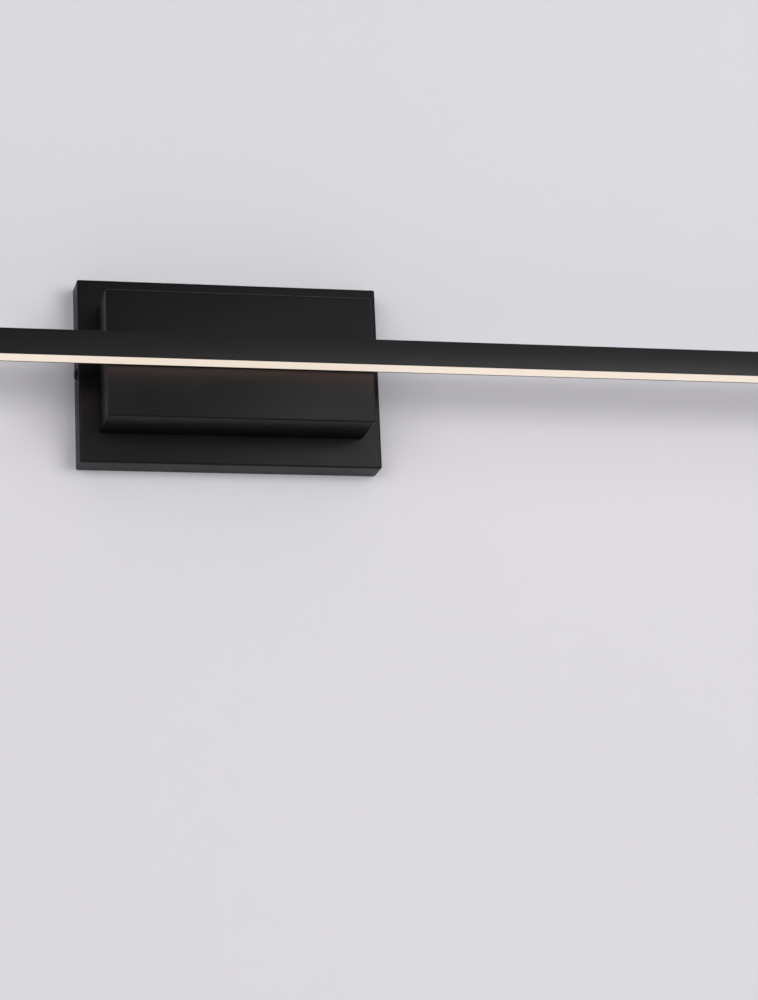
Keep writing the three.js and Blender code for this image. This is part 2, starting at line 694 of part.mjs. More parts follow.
function wireGrommet() {
  const flangeFloor = housingSkin + GAP;
  const span = [barBack - BAR_WALL, flangeFloor, flangeFloor + GROMMET_WALL];
  const sleeve = sleeveGeometry(GROMMET_HOLE, GROMMET_WALL, GROMMET_FLANGE, span);
  const grommet = piece('wire_grommet', sleeve, blackRubber);
  grommet.position.set(grommetX, 0, channelMiddle);
  return grommet;
}

// ---- Bar ----------------------------------------------------------------------------------------
// Everything here is in the bar's own frame, and is put in place as one group

function barSection() {
  return roundedRectangle(barHalfDepth, BAR_HEIGHT / 2, BAR_CORNER);
}

function barChannel() {
  const along = [-extrusionHalf, extrusionHalf];
  const past = [-extrusionHalf - 1, extrusionHalf + 1];
  const inside = [-barInnerDepth, barInnerDepth];
  const rebateTop = lensTop + GAP;
  let channel = extrudeAlong(barSection(), along)
    .subtract(block(past, inside, [channelFloor, channelTop]))
    .subtract(block(past, inside, [rebateTop, webUnder]))
    .subtract(block(past, [-rimDepth, rimDepth], [barBottom - 1, rebateTop]))
    .add(rodX(portRadius + SCREW_PORT_WALL, along, 0, portHeight))
    .subtract(rodX(portRadius, past, 0, portHeight));
  const ridgeTip = barInnerDepth - SNAP_RIDGE_REACH;
  const ridgeRoot = barInnerDepth + BAR_WALL / 2;
  const throughBack = [barInnerDepth - 1, barHalfDepth + 1];
  for (const side of [-1, 1]) {
    const ridge = [side * ridgeTip, side * ridgeRoot].sort((a, b) => a - b);
    channel = channel
      .add(block(along, ridge, [ridgeFloor, ridgeTop]))
      .subtract(rodY(BAR_SCREW.shank + PLAY, throughBack, side * barScrewX, channelMiddle));
  }
  channel = channel
    .subtract(rodY(GROMMET_HOLE / 2, throughBack, grommetX, channelMiddle))
    .subtract(feedCut([webUnder - 1, channelFloor + 1]));
  return piece('bar_channel', geometryOf(channel), blackCoat);
}

// The slot that the LED wires drop through, from the back edge of the boards
function feedCut(height) {
  const reach = [feedDepth - LED_WIRE / 2 - GAP, barInnerDepth];
  return block([feedX - FEED_WIDTH / 2, feedX + FEED_WIDTH / 2], reach, height);
}

function barLens() {
  const half = rimDepth - PLAY;
  const floor = barBottom + LENS_RECESS;
  const legOuter = barInnerDepth - SNAP_RIDGE_REACH - PLAY;
  const legInner = legOuter - LENS_LEG;
  const barbFloor = ridgeTop + GAP;
  const barbTop = barbFloor + LENS_BARB;
  const right = [
    [half, floor], [half, lensTop], [legOuter, lensTop], [legOuter, barbFloor],
    [legOuter + SNAP_RIDGE_REACH, barbFloor], [legOuter, barbTop],
    [legInner, barbTop], [legInner, lensTop],
  ];
  const left = right.map(([y, z]) => [-y, z]).reverse();
  const lens = extrudeAlong(polygon([...right, ...left]), [-extrusionHalf, extrusionHalf]);
  return piece('bar_lens', geometryOf(lens), opal);
}

// Board i of the row, counted from the left, about its own middle
function boardX(i) {
  return (i - (BOARD_COUNT - 1) / 2) * (boardLength + BOARD_SPACING);
}

function ledBoard(name, i) {
  const x = boardX(i);
  const half = boardLength / 2;
  const count = Math.floor(boardLength / LED_PITCH);
  let board = block([-half, half], [-BOARD_WIDTH / 2, BOARD_WIDTH / 2], [boardUnder, boardTop]);
  const side = LED_SIZE / 2;
  const ledDepth = [boardUnder - LED_HEIGHT, boardUnder + BOARD_THICKNESS / 2];
  for (let k = 0; k < count; k += 1) {
    const led = (k - (count - 1) / 2) * LED_PITCH;
    board = board.add(block([led - side, led + side], [-side, side], ledDepth));
  }
  board = board.subtract(feedCut([boardUnder - 1, boardTop + 1]).translate([-x, 0, 0]));
  const mesh = piece(name, geometryOf(board), boardWhite);
  mesh.position.x = x;
  return mesh;
}

function thermalTape(name, i) {
  const x = boardX(i);
  const half = boardLength / 2;
  const tapeUnder = tapeTop - TAPE_THICKNESS;
  const tape = block([-half, half], [-TAPE_WIDTH / 2, TAPE_WIDTH / 2], [tapeUnder, tapeTop])
    .subtract(feedCut([tapeUnder - 1, tapeTop + 1]).translate([-x, 0, 0]));
  const mesh = piece(name, geometryOf(tape), tapeGrey);
  mesh.position.x = x;
  return mesh;
}

// A connector that bridges board i and the next one
function boardConnector(name, i) {
  const half = CONNECTOR_LENGTH / 2;
  const width = CONNECTOR_WIDTH / 2;
  const top = boardUnder - GAP;
  const body = block([-half, half], [-width, width], [top - CONNECTOR_HEIGHT, top]);
  const connector = piece(name, geometryOf(body), whitePlastic);
  connector.position.x = (boardX(i) + boardX(i + 1)) / 2;
  return connector;
}

function ledParts() {
  const places = ['left', 'middle', 'right'];
  const boards = places.map((place, i) => ledBoard(`led_board_${place}`, i));
  const tapes = places.map((place, i) => thermalTape(`thermal_tape_${place}`, i));
  const sides = ['left', 'right'];
  const connectors = sides.map((side, i) => boardConnector(`board_connector_${side}`, i));
  return [...boards, ...tapes, ...connectors];
}

// An end cap, standing on the bar's end face, with a spigot that goes into the wire channel
function endCapGeometry() {
  const spigotDepth = barInnerDepth - PLAY;
  const spigotFloor = channelFloor + PLAY;
  const spigotHeight = [spigotFloor, spigotFloor + SPIGOT_HEIGHT];
  const cap = extrudeAlong(barSection(), [0, CAP_THICKNESS])
    .add(block([-SPIGOT_LENGTH, CAP_THICKNESS / 2], [-spigotDepth, spigotDepth], spigotHeight))
    .subtract(rodX(CAP_SCREW.shank + PLAY, [-1, CAP_THICKNESS + 1], 0, portHeight))
    .subtract(rodX(CAP_SCREW.head + PLAY, [capSeat - GAP, CAP_THICKNESS + 1], 0, portHeight));
  return geometryOf(cap);
}

function endParts() {
  const names = { left: -1, right: 1 };
  return Object.entries(names).flatMap(([place, side]) => {
    const cap = piece(`end_cap_${place}`, endCapGeometry(), blackCoat);
    cap.rotation.z = side < 0 ? Math.PI : 0;
    cap.position.x = side * (extrusionHalf + GAP);
    const screw = piece(`cap_screw_${place}`, screwGeometry(CAP_SCREW), blackCoat);
    screw.rotation.z = side * Math.PI / 2;
    screw.position.set(side * (extrusionHalf + GAP + capSeat), 0, portHeight);
    return [cap, screw];
  });
}

function nutStrip() {
  const half = barScrewX + NUT_STRIP_EDGE;
  const back = barInnerDepth - GAP;
  const height = [channelFloor + GAP, channelTop - GAP];
  let strip = block([-half, half], [back - NUT_STRIP_THICKNESS, back], height);
  for (const side of [-1, 1]) {
    const through = [back - NUT_STRIP_THICKNESS - 1, back + 1];
    strip = strip.subtract(rodY(BAR_SCREW.shank + PLAY, through, side * barScrewX, channelMiddle));
  }
  return piece('bar_nut_strip', geometryOf(strip), zincSteel);
}

// Bar screws and washers stand on the housing's inner face, in the fixture's frame
function barFixings() {
  return [-1, 1].flatMap((side) => {
    const place = side < 0 ? 'left' : 'right';
    const washerSpan = [0, WASHER_THICKNESS];
    const washer = piece(
      `bar_washer_${place}`,
      ringGeometry(BAR_SCREW.shank + PLAY, WASHER_RADIUS, washerSpan),
      screwSteel,
    );
    washer.position.set(side * barScrewX, housingSkin + GAP, channelMiddle);
    const screw = piece(`bar_screw_${place}`, screwGeometry(BAR_SCREW), screwSteel);
    screw.rotation.z = Math.PI;
    screw.position.set(side * barScrewX, housingSkin + GAP + WASHER_THICKNESS + GAP, channelMiddle);
    return [washer, screw];
  });
}

// ---- Assembly -----------------------------------------------------------------------------------

const wallParts = new THREE.Group();
wallParts.add(
  mountingBracket(),
  groundScrew(),
  sideScrew('side_screw_left', -1),
  sideScrew('side_screw_right', 1),
);

const bar = new THREE.Group();
bar.position.y = barMiddle;
bar.add(barChannel(), barLens(), nutStrip(), ...ledParts(), ...endParts());

const fixture = new THREE.Group();
fixture.add(
  backplate(),
  driverHousing(),
  ...housingScrews(),
  ...driverParts(),
  ...driverScrews(),
  terminalBlock(),
  terminalScrew(),
  ...earthParts(),
  mainsWire('live_wire', insulation.black, 1, portY - 1, 1),
  mainsWire('neutral_wire', insulation.white, -1, portY + MAINS_WIRE + 1, 2),
  wireBushing(),
  ledWire('positive_wire', insulation.red, 1),
  ledWire('negative_wire', insulation.black, -1),
  wireGrommet(),
  ...barFixings(),
  bar,
);

const light = new THREE.Group();
light.add(wallParts, fixture);

export default light;
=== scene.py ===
"""A wall light for over a vanity mirror: the shown pieces, their finishes and the studio.

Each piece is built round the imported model. Its place and overall size come from the CAD node
that it stands for, and the small forms that show are made here: folds, punched edges, threads,
recesses and grain. Metres throughout; +X runs along the bar, +Y into the wall and +Z is up.
"""

import json
import math

import bmesh
import bpy
from mathutils import Matrix, Vector

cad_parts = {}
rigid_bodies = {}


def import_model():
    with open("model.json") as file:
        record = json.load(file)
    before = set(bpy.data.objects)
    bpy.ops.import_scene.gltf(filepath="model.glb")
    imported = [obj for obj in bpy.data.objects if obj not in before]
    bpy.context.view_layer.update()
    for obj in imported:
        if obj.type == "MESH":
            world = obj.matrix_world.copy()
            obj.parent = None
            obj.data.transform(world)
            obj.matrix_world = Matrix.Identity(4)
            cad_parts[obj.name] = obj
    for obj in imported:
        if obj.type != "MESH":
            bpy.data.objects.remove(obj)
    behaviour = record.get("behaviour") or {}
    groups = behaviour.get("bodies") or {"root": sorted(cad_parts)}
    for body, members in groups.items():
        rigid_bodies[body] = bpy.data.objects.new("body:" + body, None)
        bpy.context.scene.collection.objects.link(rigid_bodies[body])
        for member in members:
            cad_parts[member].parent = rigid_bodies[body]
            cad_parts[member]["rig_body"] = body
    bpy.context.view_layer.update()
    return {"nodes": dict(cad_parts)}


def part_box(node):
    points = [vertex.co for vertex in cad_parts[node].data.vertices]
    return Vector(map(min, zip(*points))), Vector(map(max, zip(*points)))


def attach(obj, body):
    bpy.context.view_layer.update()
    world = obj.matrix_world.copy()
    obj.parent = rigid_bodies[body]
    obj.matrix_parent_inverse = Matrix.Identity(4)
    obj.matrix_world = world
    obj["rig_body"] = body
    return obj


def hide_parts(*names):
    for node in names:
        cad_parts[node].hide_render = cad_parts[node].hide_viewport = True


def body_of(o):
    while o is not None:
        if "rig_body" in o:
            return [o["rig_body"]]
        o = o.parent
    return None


bl_info = {
    "name": "Vanity light bar",
    "version": (1, 0, 0),
    "blender": (4, 5, 0),
    "location": "View3D > Sidebar > Light bar",
    "description": "Builds the pieces, finishes and studio of a wall-mounted vanity light bar",
    "category": "Add Mesh",
}

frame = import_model()

MM = 0.001

# Sheet metal
SHEET = 1.5 * MM
BRACKET_SHEET = 1.6 * MM
BRACKET_BEND = 2.6 * MM
BRACKET_SHOULDER = 62 * MM
BRACKET_TAPER = 7 * MM
BRACKET_EAR = 24 * MM
TAPPED_PLAY = 0.1 * MM  # round a screw in the bracket
SIDE_SLOT_CUT = 16 * MM  # length of the tool for a side slot, along X
WIRE_HOLE = 22 * MM
BOX_SLOT = (66 * MM, 94 * MM, 4.6 * MM)  # least and greatest screw spacing, and width
DRIVER_WINDOW = 1 * MM  # play round the driver in the backplate
TAB_WIDTH = 16 * MM
TAB_REACH = 11 * MM

# Bar
BAR_WALL = 1.2 * MM
BAR_RIM = 0.8 * MM
CHANNEL_HEIGHT = 7.2 * MM
PORT_RADIUS = 1.2 * MM
PORT_WALL = 1 * MM
PORT_DROP = 0.3 * MM
RIDGE = (0.5 * MM, 0.6 * MM, 1.1 * MM)  # reach, height, and rise above the lens
LENS_THICKNESS = 1.2 * MM
LENS_LEG = 0.9 * MM
BARB_HEIGHT = 0.6 * MM
GAP = 0.3 * MM  # between pieces that touch on the real object
FEED_WIDTH = 4.6 * MM
FEED_INSET = 2.8 * MM  # of the LED wires, from the bar's rear wall
CAP_THICKNESS = 2 * MM
SPIGOT_HEIGHT = 2.2 * MM

# Driver
DRIVER_WALL = 1.4 * MM
DRIVER_WIRES = (1.4 * MM, 1.1 * MM)  # radius of the holes at its mains end and at its LED end
WIRE_OFFSET = 3 * MM  # of a hole from the middle of the driver's end
GROOVE_PITCH = 10 * MM

# Wiring
MAINS_WIRE = 2.2 * MM
LED_WIRE = 1.6 * MM
POLE_COUNT = 3
POLE_PITCH = 9 * MM
POLE_EDGE = 5.5 * MM  # from an end pole to the end of the terminal block
TONGUE_HALF_WIDTH = 1.5 * MM  # of the ring on the earth wire
BUSHING_HOLE = 12 * MM
GROMMET_HOLE = 6.6 * MM
PORT_DEPTH = 6.5 * MM
LED_PITCH = 15 * MM
LED_SIZE = 2.8 * MM
LED_HEIGHT = 0.7 * MM

# Screws: height of the head and radius of the shank; the rest comes from the CAD node
SCREW_FORMS = {
    "side_screw": (1.2 * MM, 2 * MM),
    "bar_screw": (2.4 * MM, 1.9 * MM),
    "housing_screw": (2 * MM, 1.5 * MM),
    "driver_screw": (2 * MM, 1.5 * MM),
    "terminal_screw": (1.8 * MM, 1.3 * MM),
    "earth_screw": (1.8 * MM, 1.5 * MM),
    "ground_screw": (2.2 * MM, 1.9 * MM),
    "cap_screw": (1 * MM, 0.9 * MM),
}
SHANK_PLAY = 0.3 * MM
HOUSING_SCREWS = [
    f"housing_screw_{height}_{side}" for height in ("upper", "lower") for side in ("left", "right")
]

SIDES = {"left": -1, "right": 1}
ROUND = 0.98  # share of a slot's half width that its corner radius takes, so that arcs don't meet
CLEAR = 5 * MM  # how far a cutting tool stands past what it cuts


# ---- Sizes and colours that a user would change --------------------------------------------------


class LightBarForms(bpy.types.PropertyGroup):
    """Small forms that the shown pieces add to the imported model"""

    fold: bpy.props.FloatProperty(
        name="Fold radius",
        description="Outer radius where the backplate and the housing are folded",
        default=1.3 * MM,
        unit="LENGTH",
    )
    bar_edge: bpy.props.FloatProperty(
        name="Bar edge",
        description="Radius along the corners of the bar",
        default=0.5 * MM,
        unit="LENGTH",
    )
    broken_edge: bpy.props.FloatProperty(
        name="Broken edge",
        description="Width of the edge left by punching, cutting and moulding",
        default=0.15 * MM,
        unit="LENGTH",
    )
    thread_pitch: bpy.props.FloatProperty(
        name="Thread pitch",
        description="Pitch of the screw threads",
        default=0.7 * MM,
        unit="LENGTH",
    )
    sides: bpy.props.IntProperty(
        name="Round sides",
        description="Sides of a round form",
        default=40,
        min=12,
    )


class LightBarFinishes(bpy.types.PropertyGroup):
    """Colours and sheen of the pieces"""

    coat: bpy.props.FloatVectorProperty(
        name="Sheet coat",
        description="Black powder coat on the backplate and the housing",
        default=(0.0030, 0.0028, 0.0029),
        subtype="COLOR",
    )
    coat_roughness: bpy.props.FloatProperty(
        name="Sheet roughness",
        description="Roughness of the powder coat",
        default=0.40,
        subtype="FACTOR",
    )
    bar: bpy.props.FloatVectorProperty(
        name="Bar coat",
        description="Black coat on the aluminium bar and its end caps",
        default=(0.0034, 0.0032, 0.0033),
        subtype="COLOR",
    )
    bar_roughness: bpy.props.FloatProperty(
        name="Bar roughness",
        description="Roughness of the coat on the bar",
        default=0.34,
        subtype="FACTOR",
    )
    worn: bpy.props.FloatVectorProperty(
        name="Worn edge",
        description="Colour of the coat where edges are rubbed",
        default=(0.012, 0.0118, 0.0118),
        subtype="COLOR",
    )
    lens: bpy.props.FloatVectorProperty(
        name="Lens light",
        description="Light that comes out of the opal lens",
        default=(0.905, 0.785, 0.665),
        subtype="COLOR",
    )
    glow: bpy.props.FloatProperty(
        name="Lens strength",
        description="Strength of the lens light",
        default=0.97,
        min=0,
    )


class LightBarStudio(bpy.types.PropertyGroup):
    """The camera, the lights and the room"""

    camera_place: bpy.props.FloatVectorProperty(
        name="Camera place",
        description="Where the camera stands",
        default=(-0.36526, -1.89629, -0.59504),
        subtype="TRANSLATION",
    )
    camera_yaw: bpy.props.FloatProperty(
        name="Camera yaw",
        description="Turn of the camera to the right",
        default=math.radians(13.907),
        subtype="ANGLE",
    )
    camera_pitch: bpy.props.FloatProperty(
        name="Camera pitch",
        description="Tilt of the camera upwards",
        default=math.radians(14.767),
        subtype="ANGLE",
    )
    camera_roll: bpy.props.FloatProperty(
        name="Camera roll",
        description="Turn of the camera about its line of sight, clockwise",
        default=math.radians(2.507),
        subtype="ANGLE",
    )
    focal_length: bpy.props.FloatProperty(
        name="Focal length",
        description="Focal length in millimetres",
        default=106.88,
        min=20,
    )
    wall: bpy.props.FloatVectorProperty(
        name="Wall",
        description="Paint of the wall and the floor",
        default=(0.800, 0.794, 0.812),
        subtype="COLOR",
    )
    ambient: bpy.props.FloatProperty(
        name="Ambient light",
        description="Strength of the even light of the room",
        default=0.31,
        min=0,
    )
    key: bpy.props.FloatProperty(
        name="Key light",
        description="Power of the soft light in front, on the right",
        default=54.5,
        min=0,
        unit="POWER",
    )
    fill: bpy.props.FloatProperty(
        name="Fill light",
        description="Power of the soft light in front, on the left",
        default=33,
        min=0,
        unit="POWER",
    )
    crown: bpy.props.FloatProperty(
        name="High light",
        description="Power of the dim soft light high up in front, on the right",
        default=12,
        min=0,
        unit="POWER",
    )
    sheen: bpy.props.FloatProperty(
        name="Lens sheen",
        description="Power of the warm light of the lens that the gloss of the housing takes up",
        default=0.12,
        min=0,
        unit="POWER",
    )
    back: bpy.props.FloatProperty(
        name="Back light",
        description="Power of the soft light behind the wall, for views of the back",
        default=60,
        min=0,
        unit="POWER",
    )


# ---- Shapes --------------------------------------------------------------------------------------


def block(first, second):
    """A box between any two opposite corners"""
    shape = bmesh.new()
    bmesh.ops.create_cube(shape, size=1)
    for corner in shape.verts:
        corner.co = Vector(
            max(ends) if corner.co[i] > 0 else min(ends) for i, ends in enumerate(zip(first, second))
        )
    return shape


def round_edges(shape, radius, chosen=lambda edge: True, segments=4):
    """Rounds the edges of a shape that a test chooses"""
    edges = [edge for edge in shape.edges if chosen(edge)]
    bmesh.ops.bevel(
        shape, geom=edges, offset=radius, segments=segments, profile=0.5, affect="EDGES"
    )
    return shape


def off_plane(axis, place):
    """A test for the edges that don't lie in a plane across an axis"""
    return lambda edge: not in_plane(axis, place)(edge)


def in_plane(axis, place):
    """A test for the edges that lie in a plane across an axis"""
    return lambda edge: all(abs(corner.co[axis] - place) < 1e-6 for corner in edge.verts)


def along(axis):
    """A test for the edges that run along an axis"""

    def chosen(edge):
        run = edge.verts[1].co - edge.verts[0].co
        return abs(run[axis]) > 0.99 * run.length

    return chosen


def soft_block(first, second, radius, axis=None, segments=4):
    """A box with all its edges rounded, or only those along an axis"""
    chosen = (lambda edge: True) if axis is None else along(axis)
    return round_edges(block(first, second), radius, chosen, segments)


def placed(shape, place, heading):
    """A shape with its own Z turned to a heading and its origin moved to a place"""
    turn = Vector((0, 0, 1)).rotation_difference(Vector(heading)).to_matrix().to_4x4()
    bmesh.ops.transform(shape, matrix=Matrix.Translation(place) @ turn, verts=shape.verts)
    return shape


def turned(profile, sides):
    """A profile of (radius, height) turned about Z; a profile that ends where it starts is a ring"""
    shape = bmesh.new()
    closed = profile[0] == profile[-1]
    rings = []
    for radius, height in profile[:-1] if closed else profile:
        if radius == 0:
            rings.append([shape.verts.new((0, 0, height))] * sides)
        else:
            rings.append([shape.verts.new((x, y, height)) for x, y in circle(radius, sides)])
    for lower, upper in zip(rings, rings[1:] + rings[:1] if closed else rings[1:]):
        for i in range(sides):
            j = (i + 1) % sides
            corners = dict.fromkeys((lower[i], lower[j], upper[j], upper[i]))
            shape.faces.new(corners)
    bmesh.ops.recalc_face_normals(shape, faces=shape.faces)
    return shape


def rod(start, end, radius, sides=40):
    """A round rod between two points"""
    run = Vector(end) - Vector(start)
    profile = [(0, 0), (radius, 0), (radius, run.length), (0, run.length)]
    return placed(turned(profile, sides), start, run)


def drill(place, depth, radius, sides=40):
    """A rod along Y through a place, between two depths"""
    return rod((place.x, depth[0], place.z), (place.x, depth[1], place.z), radius, sides)


def circle(radius, sides, centre=(0, 0)):
    """The outline of a circle"""
    turns = (2 * math.pi * i / sides for i in range(sides))
    return [(centre[0] + radius * math.cos(a), centre[1] + radius * math.sin(a)) for a in turns]


def rounded(points, segments=4):
    """An outline of (across, up, corner radius), with its corners turned into arcs"""
    outline = []
    for i, (x, y, radius) in enumerate(points):
        corner = Vector((x, y))
        if radius == 0:
            outline.append(corner)
            continue
        before = Vector(points[i - 1][:2]) - corner
        after = Vector(points[(i + 1) % len(points)][:2]) - corner
        half = before.angle(after) / 2
        reach = radius / math.tan(half)
        inward = (before.normalized() + after.normalized()).normalized()
        centre = corner + inward * radius / math.sin(half)
        first = corner + before.normalized() * reach - centre
        last = corner + after.normalized() * reach - centre
        sweep = first.angle_signed(last)
        for step in range(segments + 1):
            outline.append(centre + Matrix.Rotation(-sweep * step / segments, 2) @ first)
    return outline


def mirrored(points):
    """Points of an outline mirrored across, in the order that carries the outline on"""
    return [(-x, y, radius) for x, y, radius in reversed(points)]


def slot_outline(low_x, high_x, z, half_width):
    """A slot with round ends, along X"""
    arc = ROUND * half_width
    low_z, high_z = z - half_width, z + half_width
    return rounded(
        [(low_x, low_z, arc), (high_x, low_z, arc), (high_x, high_z, arc), (low_x, high_z, arc)], 8
    )


def drawn(outlines, place):
    """Faces that fill closed outlines, holes left open; place puts a point of the plane in space"""
    shape = bmesh.new()
    for outline in outlines:
        corners = [shape.verts.new(place(*point)) for point in outline]
        for a, b in zip(corners, corners[1:] + corners[:1]):
            shape.edges.new((a, b))
    bmesh.ops.triangle_fill(shape, use_beauty=True, use_dissolve=True, edges=shape.edges)
    return shape


def extruded(outlines, place, run):
    """Closed outlines drawn out along a run"""
    shape = drawn(outlines, place)
    drawn_out = bmesh.ops.extrude_face_region(shape, geom=shape.faces[:])
    ends = [item for item in drawn_out["geom"] if isinstance(item, bmesh.types.BMVert)]
    bmesh.ops.translate(shape, vec=run, verts=ends)
    bmesh.ops.recalc_face_normals(shape, faces=shape.faces)
    return shape


def through(outlines, depth, side=1, z_side=1):
    """Outlines of (x, z) drawn out along Y between two depths, mirrored where a side is -1"""
    return extruded(
        outlines, lambda x, z: (side * x, depth[0], z_side * z), (0, depth[1] - depth[0], 0)
    )


def joined(shapes):
    """Several shapes as one, with nothing cut"""
    whole = bmesh.new()
    for shape in shapes:
        part = bpy.data.meshes.new("part")
        shape.to_mesh(part)
        shape.free()
        whole.from_mesh(part)
        bpy.data.meshes.remove(part)
    return whole


def combined(shape, others, operation):
    """A shape cut by, or united with, other shapes"""
    held = []
    for item in (shape, joined(others)):
        mesh = bpy.data.meshes.new("working")
        item.to_mesh(mesh)
        item.free()
        held.append(bpy.data.objects.new("working", mesh))
        bpy.context.scene.collection.objects.link(held[-1])
    worked = held[0].modifiers.new("combine", "BOOLEAN")
    worked.object = held[1]
    worked.operation = operation
    worked.solver = "EXACT"
    worked.use_self = True
    result = bmesh.new()
    evaluated = held[0].evaluated_get(bpy.context.evaluated_depsgraph_get())
    result.from_mesh(evaluated.to_mesh())
    evaluated.to_mesh_clear()
    for item in held:
        mesh = item.data
        bpy.data.objects.remove(item)
        bpy.data.meshes.remove(mesh)
    bmesh.ops.remove_doubles(result, verts=result.verts, dist=1e-6)
    return result


def cut(shape, others):
    """A shape with others taken out of it"""
    return combined(shape, others, "DIFFERENCE")


def united(shape, others):
    """A shape made one with others"""
    return combined(shape, others, "UNION")


def painted(shape, index):
    """The shape with all its faces given one of the piece's materials"""
    for face in shape.faces:
        face.material_index = index
    return shape


def shown(name, shape, finishes, nodes, edge=0.0):
    """Puts a shape in the scene as a piece that stands for CAD nodes and moves with their body"""
    mesh = bpy.data.meshes.new(name)
    shape.to_mesh(mesh)
    shape.free()
    mesh.shade_smooth()
    mesh.set_sharp_from_angle(angle=math.radians(32))
    for finish_name in finishes:
        mesh.materials.append(finish(finish_name))
    piece = bpy.data.objects.new(name, mesh)
    bpy.context.scene.collection.objects.link(piece)
    if edge:
        bevel = piece.modifiers.new("Broken edges", "BEVEL")
        bevel.width = edge
        bevel.segments = 2
        bevel.limit_method = "ANGLE"
        bevel.angle_limit = math.radians(40)
        bevel.harden_normals = True
    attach(piece, body_of(frame["nodes"][nodes[0]])[0])
    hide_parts(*nodes)


def middle(node):
    """The centre of a CAD node's box"""
    low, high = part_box(node)
    return (low + high) / 2


# ---- Shader groups -------------------------------------------------------------------------------


def add(tree, kind, inputs=None, **options):
    """Adds a node; inputs are values or the sockets that feed them"""
    made = tree.nodes.new(kind)
    for name, value in options.items():
        setattr(made, name, value)
    for name, value in (inputs or {}).items():
        if isinstance(value, bpy.types.NodeSocket):
            tree.links.new(value, made.inputs[name])
        else:
            made.inputs[name].default_value = value
    return made


def mixed(tree, factor, first, second):
    """A colour mixed from two by a factor"""
    mix = add(tree, "ShaderNodeMix", data_type="RGBA")
    for socket, value in (("Factor", factor), ("A", first), ("B", second)):
        index = {"Factor": 0, "A": 6, "B": 7}[socket]
        if isinstance(value, bpy.types.NodeSocket):
            tree.links.new(value, mix.inputs[index])
        else:
            mix.inputs[index].default_value = value
    return mix.outputs[2]


def calculated(tree, operation, first, second=0.0):
    """The result of a Math node"""
    return add(tree, "ShaderNodeMath", {0: first, 1: second}, operation=operation).outputs[0]


def remapped(tree, value, low, high, to_low, to_high):
    """A value taken from one range to another, and held there"""
    inputs = {
        "Value": value,
        "From Min": low,
        "From Max": high,
        "To Min": to_low,
        "To Max": to_high,
    }
    return add(tree, "ShaderNodeMapRange", inputs).outputs[0]


def swung(tree, value, amount):
    """How far a value is from a half, times an amount"""
    return calculated(tree, "MULTIPLY", calculated(tree, "SUBTRACT", value, 0.5), amount)


def noise(tree, place, scale, detail=2.0):
    """Noise at a place; the scale is in cells per metre"""
    inputs = {"Vector": place, "Scale": scale, "Detail": detail}
    return add(tree, "ShaderNodeTexNoise", inputs).outputs[0]


def object_place(tree):
    """The shaded point in the piece's own space"""
    return add(tree, "ShaderNodeTexCoord").outputs["Object"]


def new_group(name, inputs, outputs):
    """An empty shader group with named sockets"""
    tree = bpy.data.node_groups.new(name, "ShaderNodeTree")
    for label, kind, default in inputs:
        socket = tree.interface.new_socket(label, in_out="INPUT", socket_type=kind)
        socket.default_value = default
    for label, kind in outputs:
        tree.interface.new_socket(label, in_out="OUTPUT", socket_type=kind)
    start = tree.nodes.new("NodeGroupInput")
    end = tree.nodes.new("NodeGroupOutput")
    return tree, start.outputs, end.inputs


SKIN = (
    ("Color", "NodeSocketColor"),
    ("Roughness", "NodeSocketFloat"),
    ("Height", "NodeSocketFloat"),
)


def group_coat_texture():
    """Powder coat: a fine pebbled skin, with slight drifts in its colour and sheen"""
    tree, given, out = new_group(
        "coat_texture",
        (
            ("Color", "NodeSocketColor", (0.02, 0.02, 0.02, 1)),
            ("Roughness", "NodeSocketFloat", 0.45),
            ("Pebble Size", "NodeSocketFloat", 0.0009),
            ("Drift", "NodeSocketFloat", 0.15),
        ),
        SKIN,
    )
    place = object_place(tree)
    density = calculated(tree, "DIVIDE", 1.0, given["Pebble Size"])
    pebbles = noise(tree, place, density, 1.0)
    skin = noise(tree, place, calculated(tree, "MULTIPLY", density, 3.7), 1.0)
    cloud = noise(tree, place, 26.0, 3.0)
    height = calculated(tree, "ADD", pebbles, calculated(tree, "MULTIPLY", skin, 0.35))
    tree.links.new(height, out["Height"])
    swing = calculated(
        tree, "ADD", swung(tree, cloud, given["Drift"]), swung(tree, skin, 0.12)
    )
    rough = calculated(tree, "ADD", given["Roughness"], swing)
    tree.links.new(rough, out["Roughness"])
    light = mixed(tree, 0.35, given["Color"], (0.008, 0.0078, 0.0077, 1))
    shade = remapped(tree, cloud, 0.3, 0.8, 0.0, 0.4)
    tree.links.new(mixed(tree, shade, given["Color"], light), out["Color"])
    return tree


def group_edge_wear():
    """Rubbed edges: a mask that follows sharp outer corners, broken up by noise"""
    tree, given, out = new_group(
        "edge_wear",
        (
            ("Color", "NodeSocketColor", (0.02, 0.02, 0.02, 1)),
            ("Worn Color", "NodeSocketColor", (0.06, 0.06, 0.06, 1)),
            ("Width", "NodeSocketFloat", 0.0006),
            ("Amount", "NodeSocketFloat", 0.5),
        ),
        (("Color", "NodeSocketColor"), ("Mask", "NodeSocketFloat")),
    )
    soft = add(tree, "ShaderNodeBevel", {"Radius": given["Width"]}, samples=4)
    true = add(tree, "ShaderNodeNewGeometry").outputs["Normal"]
    facing = add(tree, "ShaderNodeVectorMath", {0: soft.outputs[0], 1: true}, operation="DOT_PRODUCT")
    edge = remapped(tree, facing.outputs["Value"], 0.995, 0.90, 0.0, 1.0)
    patches = remapped(tree, noise(tree, object_place(tree), 240.0, 4.0), 0.38, 0.62, 0.25, 1.0)
    mask = calculated(tree, "MULTIPLY", calculated(tree, "MULTIPLY", edge, patches), given["Amount"])
    tree.links.new(mask, out["Mask"])
    tree.links.new(mixed(tree, mask, given["Color"], given["Worn Color"]), out["Color"])
    return tree


